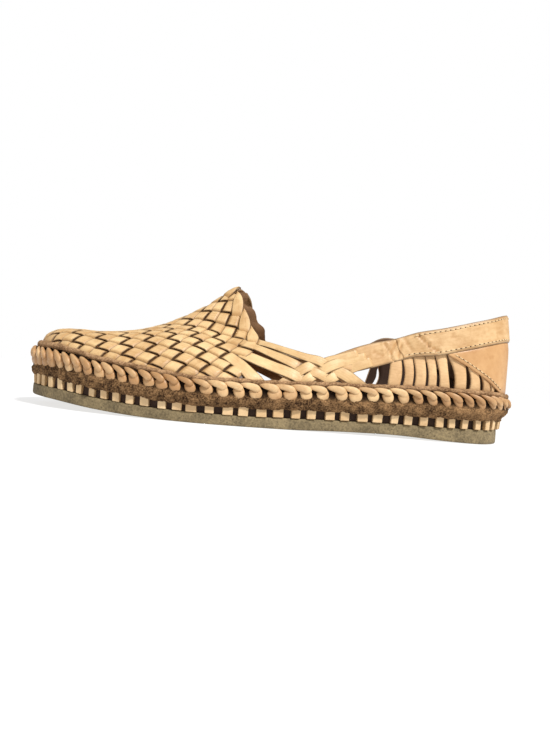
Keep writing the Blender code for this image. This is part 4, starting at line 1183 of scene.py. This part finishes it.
def suedeProfile(a, v):
    x = outline.at(a)[2][:, 0]
    edge, normal, foot = outline.at(a)
    tuck = heelTuck(x)
    low, high = level("tabTop", x) - 0.2 + ripple(a, 17, 0.45), level("braidTop", x) + 0.2
    below = tabFace(x) + 0.35
    knots = (  # share of the way up, out from the tab or foot line, waviness
        (0.00, -1.2, 0.0), (0.01, -0.1, 0.2), (0.06, 0.9, 0.8), (0.18, 1.7, 1.0), (0.30, 1.8, 1.0),
        (0.42, 1.3, 0.7), (0.50, 0.5, 0.4), (0.60, -0.2, 0.1), (1.0, -1.6, 0.0),
    )
    share, out, wavy = (np.interp(v, np.linspace(0, 1, len(knots)), [k[n] for k in knots]) for n in range(3))
    blend = np.clip(share * 2.4, 0, 1)
    base = (edge + normal * below[:, None]) * (1 - blend)[:, None] + (foot + normal * 3.3) * blend[:, None]
    lumps = 1 + welt["toeLumps"] * ramp(-x, welt["lumpRamp"])
    waves = ripple(a, 3, 0.55) + 0.5 * ripple(a + 9 * v, 5, 0.5)
    uneven = wavy * lumps * waves - tuck * (0.4 + 0.6 * blend)
    uneven = uneven - welt["toeTuck"] * ramp(-x, welt["toeRamp"])
    uneven = uneven - underCut(x) * np.interp(share, (0.0, 0.15, 0.6), (0.5, 1.0, 0.0))
    plan = base + normal * (out * 0.8 + uneven)[:, None]
    z = low + (high - low) * share + wavy * ripple(a, 11, 0.35)
    return np.concatenate([plan, z[:, None]], 1)


def pipingProfile(a, v):
    x = outline.at(a)[2][:, 0]
    around = 2 * math.pi * v
    toe = ramp(-x, welt["pipingRamp"])
    size = welt["piping"] + welt["toePiping"] * toe + ripple(a, 31, 0.15)
    out = welt["pipingOut"] - heelTuck(x) * 0.5 + ripple(a, 37, 0.2)
    out = out + size * np.cos(around) * 0.85 - 0.7 * toe
    out = out - welt["endTuck"] * ramp(x, welt["endRamp"])
    z = level("randTop", x) - welt["pipingDrop"] + ripple(a, 41, 0.3)
    z = z + size * 1.1 * np.sin(around) - 0.9 * toe
    return footPoint(a, out, z)


braid = {
    # under sets how much painted shade the braid takes at its edges and back.
    "face": 2.0, "under": 0.30, "flat": 0.7,
    "leaf": (  # share along, length from the middle, share of the braid's height, half width, depth, out
        (0.00, -6.1, 0.95, 0.0, 0.0, 0.4), (0.08, -5.2, 0.94, 0.60, 0.5, 0.8),
        (0.25, -3.3, 0.91, 1.25, 0.8, 1.3),
        (0.50, -0.6, 0.85, 1.65, 1.0, 1.9), (0.75, 1.8, 0.76, 1.80, 1.1, 2.2),
        (0.90, 3.1, 0.67, 1.50, 1.0, 2.1),
        (0.97, 3.8, 0.61, 0.80, 0.6, 2.0), (1.00, 4.0, 0.59, 0.0, 0.0, 1.9),
    ),
    "tongue": (
        (0.00, 0.4, 0.84, 0.0, 0.0, 0.2), (0.10, 0.9, 0.76, 2.20, 0.8, 0.5),
        (0.32, 1.8, 0.56, 3.00, 1.1, 1.0),
        (0.58, 2.5, 0.36, 3.05, 1.2, 1.2), (0.80, 3.0, 0.18, 2.40, 1.1, 1.0),
        (0.94, 3.3, 0.07, 1.30, 0.8, 0.6),
        (1.00, 3.5, 0.02, 0.0, 0.0, 0.3),
    ),
}


def turnBall(bm):
    # A ball whose poles lie along X, the way that a turn runs.
    return bmesh.ops.create_uvsphere(bm, u_segments=12, v_segments=14, radius=1.0,
                                     matrix=Matrix.Rotation(math.pi / 2, 4, "Y"))


def braidPart(bm, a, rows, tone):
    # A rounded length of strap swept along its rows, seen from outside the shoe.
    x = float(outline.at(a)[2][0])
    low, high = float(level("braidFoot", x)) - 0.3, float(level("braidTop", x)) + 0.3
    slope = float(level("braidTop", outline.at(a + 3)[2][0]) - level("braidTop", outline.at(a - 3)[2][0])) / 6
    tall = high - low

    def place(p):
        t = (p[:, 0] + 1) / 2
        row = smoothRows(rows, t)
        ahead, behind = smoothRows(rows, t + 0.02), smoothRows(rows, t - 0.02)
        run = np.stack([ahead[:, 0] - behind[:, 0], (ahead[:, 1] - behind[:, 1]) * tall], -1)
        run /= np.linalg.norm(run, axis=1)[:, None] + 1e-9
        ring = np.hypot(p[:, 1], p[:, 2]) + 1e-9
        up, front = p[:, 2] / ring * (ring > 1e-6), -p[:, 1] / ring * (ring > 1e-6)
        wide = np.sign(up) * np.abs(up) ** 0.85 * row[:, 2]
        along = row[:, 0] - run[:, 1] * wide
        rise = low + tall * row[:, 1] + run[:, 0] * wide + slope * along
        out = braid["face"] + row[:, 4] + row[:, 3] * np.sign(front) * np.abs(front) ** braid["flat"]
        # Painted shade on the faces turned back towards the wall, and along the edges.
        return footPoint(a + along, out, rise), np.clip(braid["under"] + 1.5 * front, -0.3, 1.0)
    addTurned(bm, turnBall, place, tone)


def braidTurn(bm, a, step):
    # One turn: a pointed leaf that lies along the top, and the round tongue that hangs from its end.
    x = float(outline.at(a)[2][0])
    scale = step / 8.4
    toe, heel = float(np.interp(x, (-105, -40), (1, 0))), float(np.interp(x, (55, 90), (0, 1)))
    wobble = rng.uniform(-1, 1, 8)
    leaf, tongue = np.array(braid["leaf"]), np.array(braid["tongue"])
    for rows, k in ((leaf, 0), (tongue, 4)):
        rows[:, 1] = rows[:, 1] * scale * (1 + 0.07 * wobble[k])
        rows[:, 3] *= (0.25 + 0.75 * scale) * (1 + 0.14 * wobble[k + 1])
        tucked = float(heelTuck(x)) + 0.25 * wobble[k + 2]
        rows[:, 5] -= tucked + welt["endTuck"] * float(ramp(x, welt["endRamp"]))
    leaf[:, 2] += 0.02 * wobble[3] - (0.20 * toe + 0.26 * heel) * leaf[:, 0] ** 1.5
    leaf[:, 3] *= 1 + 0.35 * toe - 0.05 * heel
    tongue[:, 1] += (1.6 * toe + 1.2 * heel) * (tongue[:, 0] - 0.45)
    tongue[:, 3] *= 1 + 0.10 * toe - 0.28 * heel
    tongue[2:, 2] += 0.05 * wobble[7]
    shade = 2.5 * heel + float(np.interp(x, (-105, -50, 0), (1.9, 1.2, 0)))
    # The tongue, hanging under the leaf, is painted darker as shade.
    braidPart(bm, a, tongue, wobble[3] + 0.6 + shade)
    braidPart(bm, a, leaf, wobble[6] + shade)


tabs = {"inside": 3.0, "round": 0.3}


def addTab(bm, a):
    x = outline.at(a)[2][0]
    width = float(smoothRows(turnRows, x)[..., 2]) * rng.uniform(0.85, 1.12)
    raised, lean, twist, tone = rng.uniform(-1, 1, 4)
    made = bmesh.ops.create_cube(bm, size=1.0)["verts"]
    faces = list({face for vert in made for face in vert.link_faces})
    edges = list({edge for face in faces for edge in face.edges})
    outer = {vert: vert.co.y < 0 for vert in made}
    for vert in made:
        along = a + vert.co.x * width * (1 + 0.06 * lean * vert.co.z) + 0.3 * lean * vert.co.z
        x = outline.at(along)[2][0]
        out = float(tabFace(x)) - (0.0 if vert.co.y < 0 else tabs["inside"]) + 0.25 * twist * vert.co.x
        top, foot = float(level("tabTop", x)) + 0.8, float(level("soleTop", x)) + 0.2 + 0.15 * raised
        z = top if vert.co.z > 0 else foot
        out -= 0.45 * (vert.co.z < 0) + float(heelTuck(x)) * 0.3 + float(soleTuck(x)) * 0.7
        vert.co = Vector(edgePoint(along, np.array(out), np.array(z))) * mm
        # The tab's back faces, and its sides towards them, are painted dark as shade.
        for name, value in (("tone", tone), ("dip", 1.0 if outer[vert] else -0.6), ("side", 0.5)):
            vert[bm.verts.layers.float[name]] = value
    bmesh.ops.bevel(bm, geom=edges, offset=tabs["round"] * mm, segments=2, affect="EDGES", profile=0.5,
                    material=-1)


middleReach, middleLine = 95.0, (toeTip, (0, -3), heelEnd)  # where the sole's filling runs together


def addDisc(bm, out, height, rings, upward, tuck=soleTuck):
    # Fills the sole's outline at a height, as rings drawn in towards the middle line.
    def place(u, v):
        a = u * outline.total
        point = edgePoint(a, out - tuck(outline.at(a)[0][:, 0]), np.zeros(a.shape))
        x = point[:, 0]
        middle = np.stack([np.clip(x, -middleReach, middleReach), np.interp(x, *zip(*middleLine))], 1)
        plan = point[:, :2] + (middle - point[:, :2]) * v[:, None]
        return np.column_stack([plan, height(plan[:, 0])]), 1.0
    addPatch(bm, 216, rings, place, flip=upward)


def makeSole():
    bm = newPiece()

    def fillTuck(x):
        # The rand's lower edge, which the core's top meets.
        drawn = 0.4 * heelTuck(x) + 0.5 * underCut(x) + welt["toeTuck"] * ramp(-x, welt["toeRamp"])
        return drawn - 0.35 * level("flare", x) - 0.5

    def soleSide(a, v):
        x = outline.at(a)[0][:, 0]
        rise, top = level("rise", x), level("soleTop", x)
        knots = (-1.0, -0.25, 0.0, 0.05, 0.05, 0.0, -0.3)
        share = (0.0, 0.03, 0.12, 0.4, 0.75, 0.95, 1.0)
        uneven = ripple(a, 51, 0.12) * np.sin(math.pi * v)
        out = np.interp(v, np.linspace(0, 1, 7), knots) + uneven - soleTuck(x)
        return edgePoint(a, out, rise + (top - rise) * np.interp(v, np.linspace(0, 1, 7), share))

    def coreSide(a, v):
        x = outline.at(a)[0][:, 0]
        z = level("soleTop", x) * (1 - v) + (level("tabTop", x) + 0.3) * v
        return edgePoint(a, -1.5 + ripple(a, 61, 0.2) - soleTuck(x), z)
    ringPatch(bm, 432, soleSide, 12)
    addDisc(bm, -1.0, lambda x: level("rise", x), 8, False)
    addDisc(bm, -0.3, lambda x: level("soleTop", x), 4, True)
    makePiece("crepe_sole", bm, (crepe,), ("outsole",), weld=0.02)
    bm = newPiece()
    ringPatch(bm, 288, coreSide, 3)
    addDisc(bm, 0.5, lambda x: level("tabTop", x) + 0.5, 4, True, fillTuck)
    # The core is near-black: painted shade in the gaps between the tabs.
    makePiece("core", bm, (gapShadeLeather,), ("midsole",))
    bm = newPiece()
    for a in spacedPlaces(1, 0.10):
        addTab(bm, a)
    bm.verts.ensure_lookup_table()
    makePiece("sole_tabs", bm, (tabLeather,), ("midsole",), smooth=False)


def makeWelt():
    bm = newPiece()
    ringPatch(bm, pitches * welt["columns"], suedeProfile, welt["rows"], welt["crumb"], welt["dark"])
    makePiece("suede_rand", bm, (suede,), ("rand",), weld=0.02)
    bm = newPiece()
    ringPatch(bm, pitches * welt["columns"], pipingProfile, welt["pipingPoints"], 0.05)
    makePiece("piping", bm, (pipingSuede,), ("rand",), weld=0.12)
    bm = newPiece()
    places = spacedPlaces(0, 0.09)
    for a in places:
        x = outline.at(a)[2][0]
        braidTurn(bm, a, float(smoothRows(turnRows, x)[..., 0]))
    makePiece("braid_turns", bm, (braidLeather,), ("braid",))
    print("braid turns", len(places))


view = {"lens": 26.77, "place": (0.0, -0.300, 0.0228), "tilt": 1.5, "roll": 5.0}
studio = {"floor": (0.3, 0.3, 0.3), "floorGlow": 0.72, "backdrop": 1.0, "fill": 0.42, "sunPower": 3.6,
          "sunSize": 7.0,
          "sunFrom": (0.50, -0.62, 0.92)}


def addCamera():
    camera = bpy.data.cameras.new("camera")
    camera.lens = view["lens"]
    camera.clip_start = 0.01
    item = placeItem("camera", camera)
    tilt, roll = math.radians(view["tilt"]), math.radians(view["roll"])
    ahead = Vector((0, math.cos(tilt), math.sin(tilt)))
    up, right = Vector((0, -math.sin(tilt), math.cos(tilt))), Vector((1, 0, 0))
    turned = (right * math.cos(roll) + up * math.sin(roll), up * math.cos(roll) - right * math.sin(roll),
              -ahead)
    item.matrix_world = Matrix.Translation(view["place"]) @ Matrix(turned).transposed().to_4x4()
    bpy.context.scene.camera = item


def addStudio():
    bm = bmesh.new()
    bmesh.ops.create_grid(bm, x_segments=2, y_segments=2, size=8.0)
    mesh = bpy.data.meshes.new("floor")
    bm.to_mesh(mesh)
    bm.free()
    floor = placeItem("floor", mesh)
    material, tree, shader, place = startMaterial("paleFloor", 0.9, Specular_IOR_Level=0.0)
    faint = addNode(tree, "ShaderNodeTexNoise", {"Vector": place, "Scale": 3.0})
    pale = mixColour(tree, mathNode(tree, "MULTIPLY", faint.outputs["Fac"], 0.02), studio["floor"],
                     (0.25, 0.25, 0.25))
    tree.links.new(pale, shader.inputs["Base Color"])
    shader.inputs["Emission Color"].default_value = (1.0, 1.0, 1.0, 1.0)
    shader.inputs["Emission Strength"].default_value = studio["floorGlow"]
    mesh.materials.append(material)
    world = bpy.data.worlds.new("studio")
    world.use_nodes = True
    sky = world.node_tree
    seen = addNode(sky, "ShaderNodeLightPath").outputs["Is Camera Ray"]
    strength = addNode(sky, "ShaderNodeMapRange",
                       {0: seen, 3: studio["fill"], 4: studio["backdrop"]}).outputs[0]
    sky.nodes["Background"].inputs[0].default_value = (1.0, 1.0, 1.0, 1.0)
    sky.links.new(strength, sky.nodes["Background"].inputs[1])
    bpy.context.scene.world = world
    bpy.context.scene.view_settings.view_transform = "Standard"
    sun = bpy.data.lights.new("sun", "SUN")
    sun.energy = studio["sunPower"]
    sun.angle = math.radians(studio["sunSize"])
    lamp = placeItem("sun", sun)
    lamp.rotation_mode = "QUATERNION"
    lamp.rotation_quaternion = Vector(studio["sunFrom"]).to_track_quat("Z", "Y")


addCamera()
addStudio()
cells = vampCells()
print("vamp cells", len(cells))
stripFinish = (tanLeather, fleshSide)
weaveStrips("forward_strips", cells, "forward", stripFinish)
weaveStrips("back_strips", cells, "back", stripFinish)
vampLining(fleshSide)
throatLeaves(stripFinish)
throatRim((tanLeather, insoleLeather))
makeStraps(stripFinish)
makeRear()
makeStitching()
makeSole()
makeWelt()
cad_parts["insole"].data.materials.clear()
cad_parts["insole"].data.materials.append(insoleLeather)
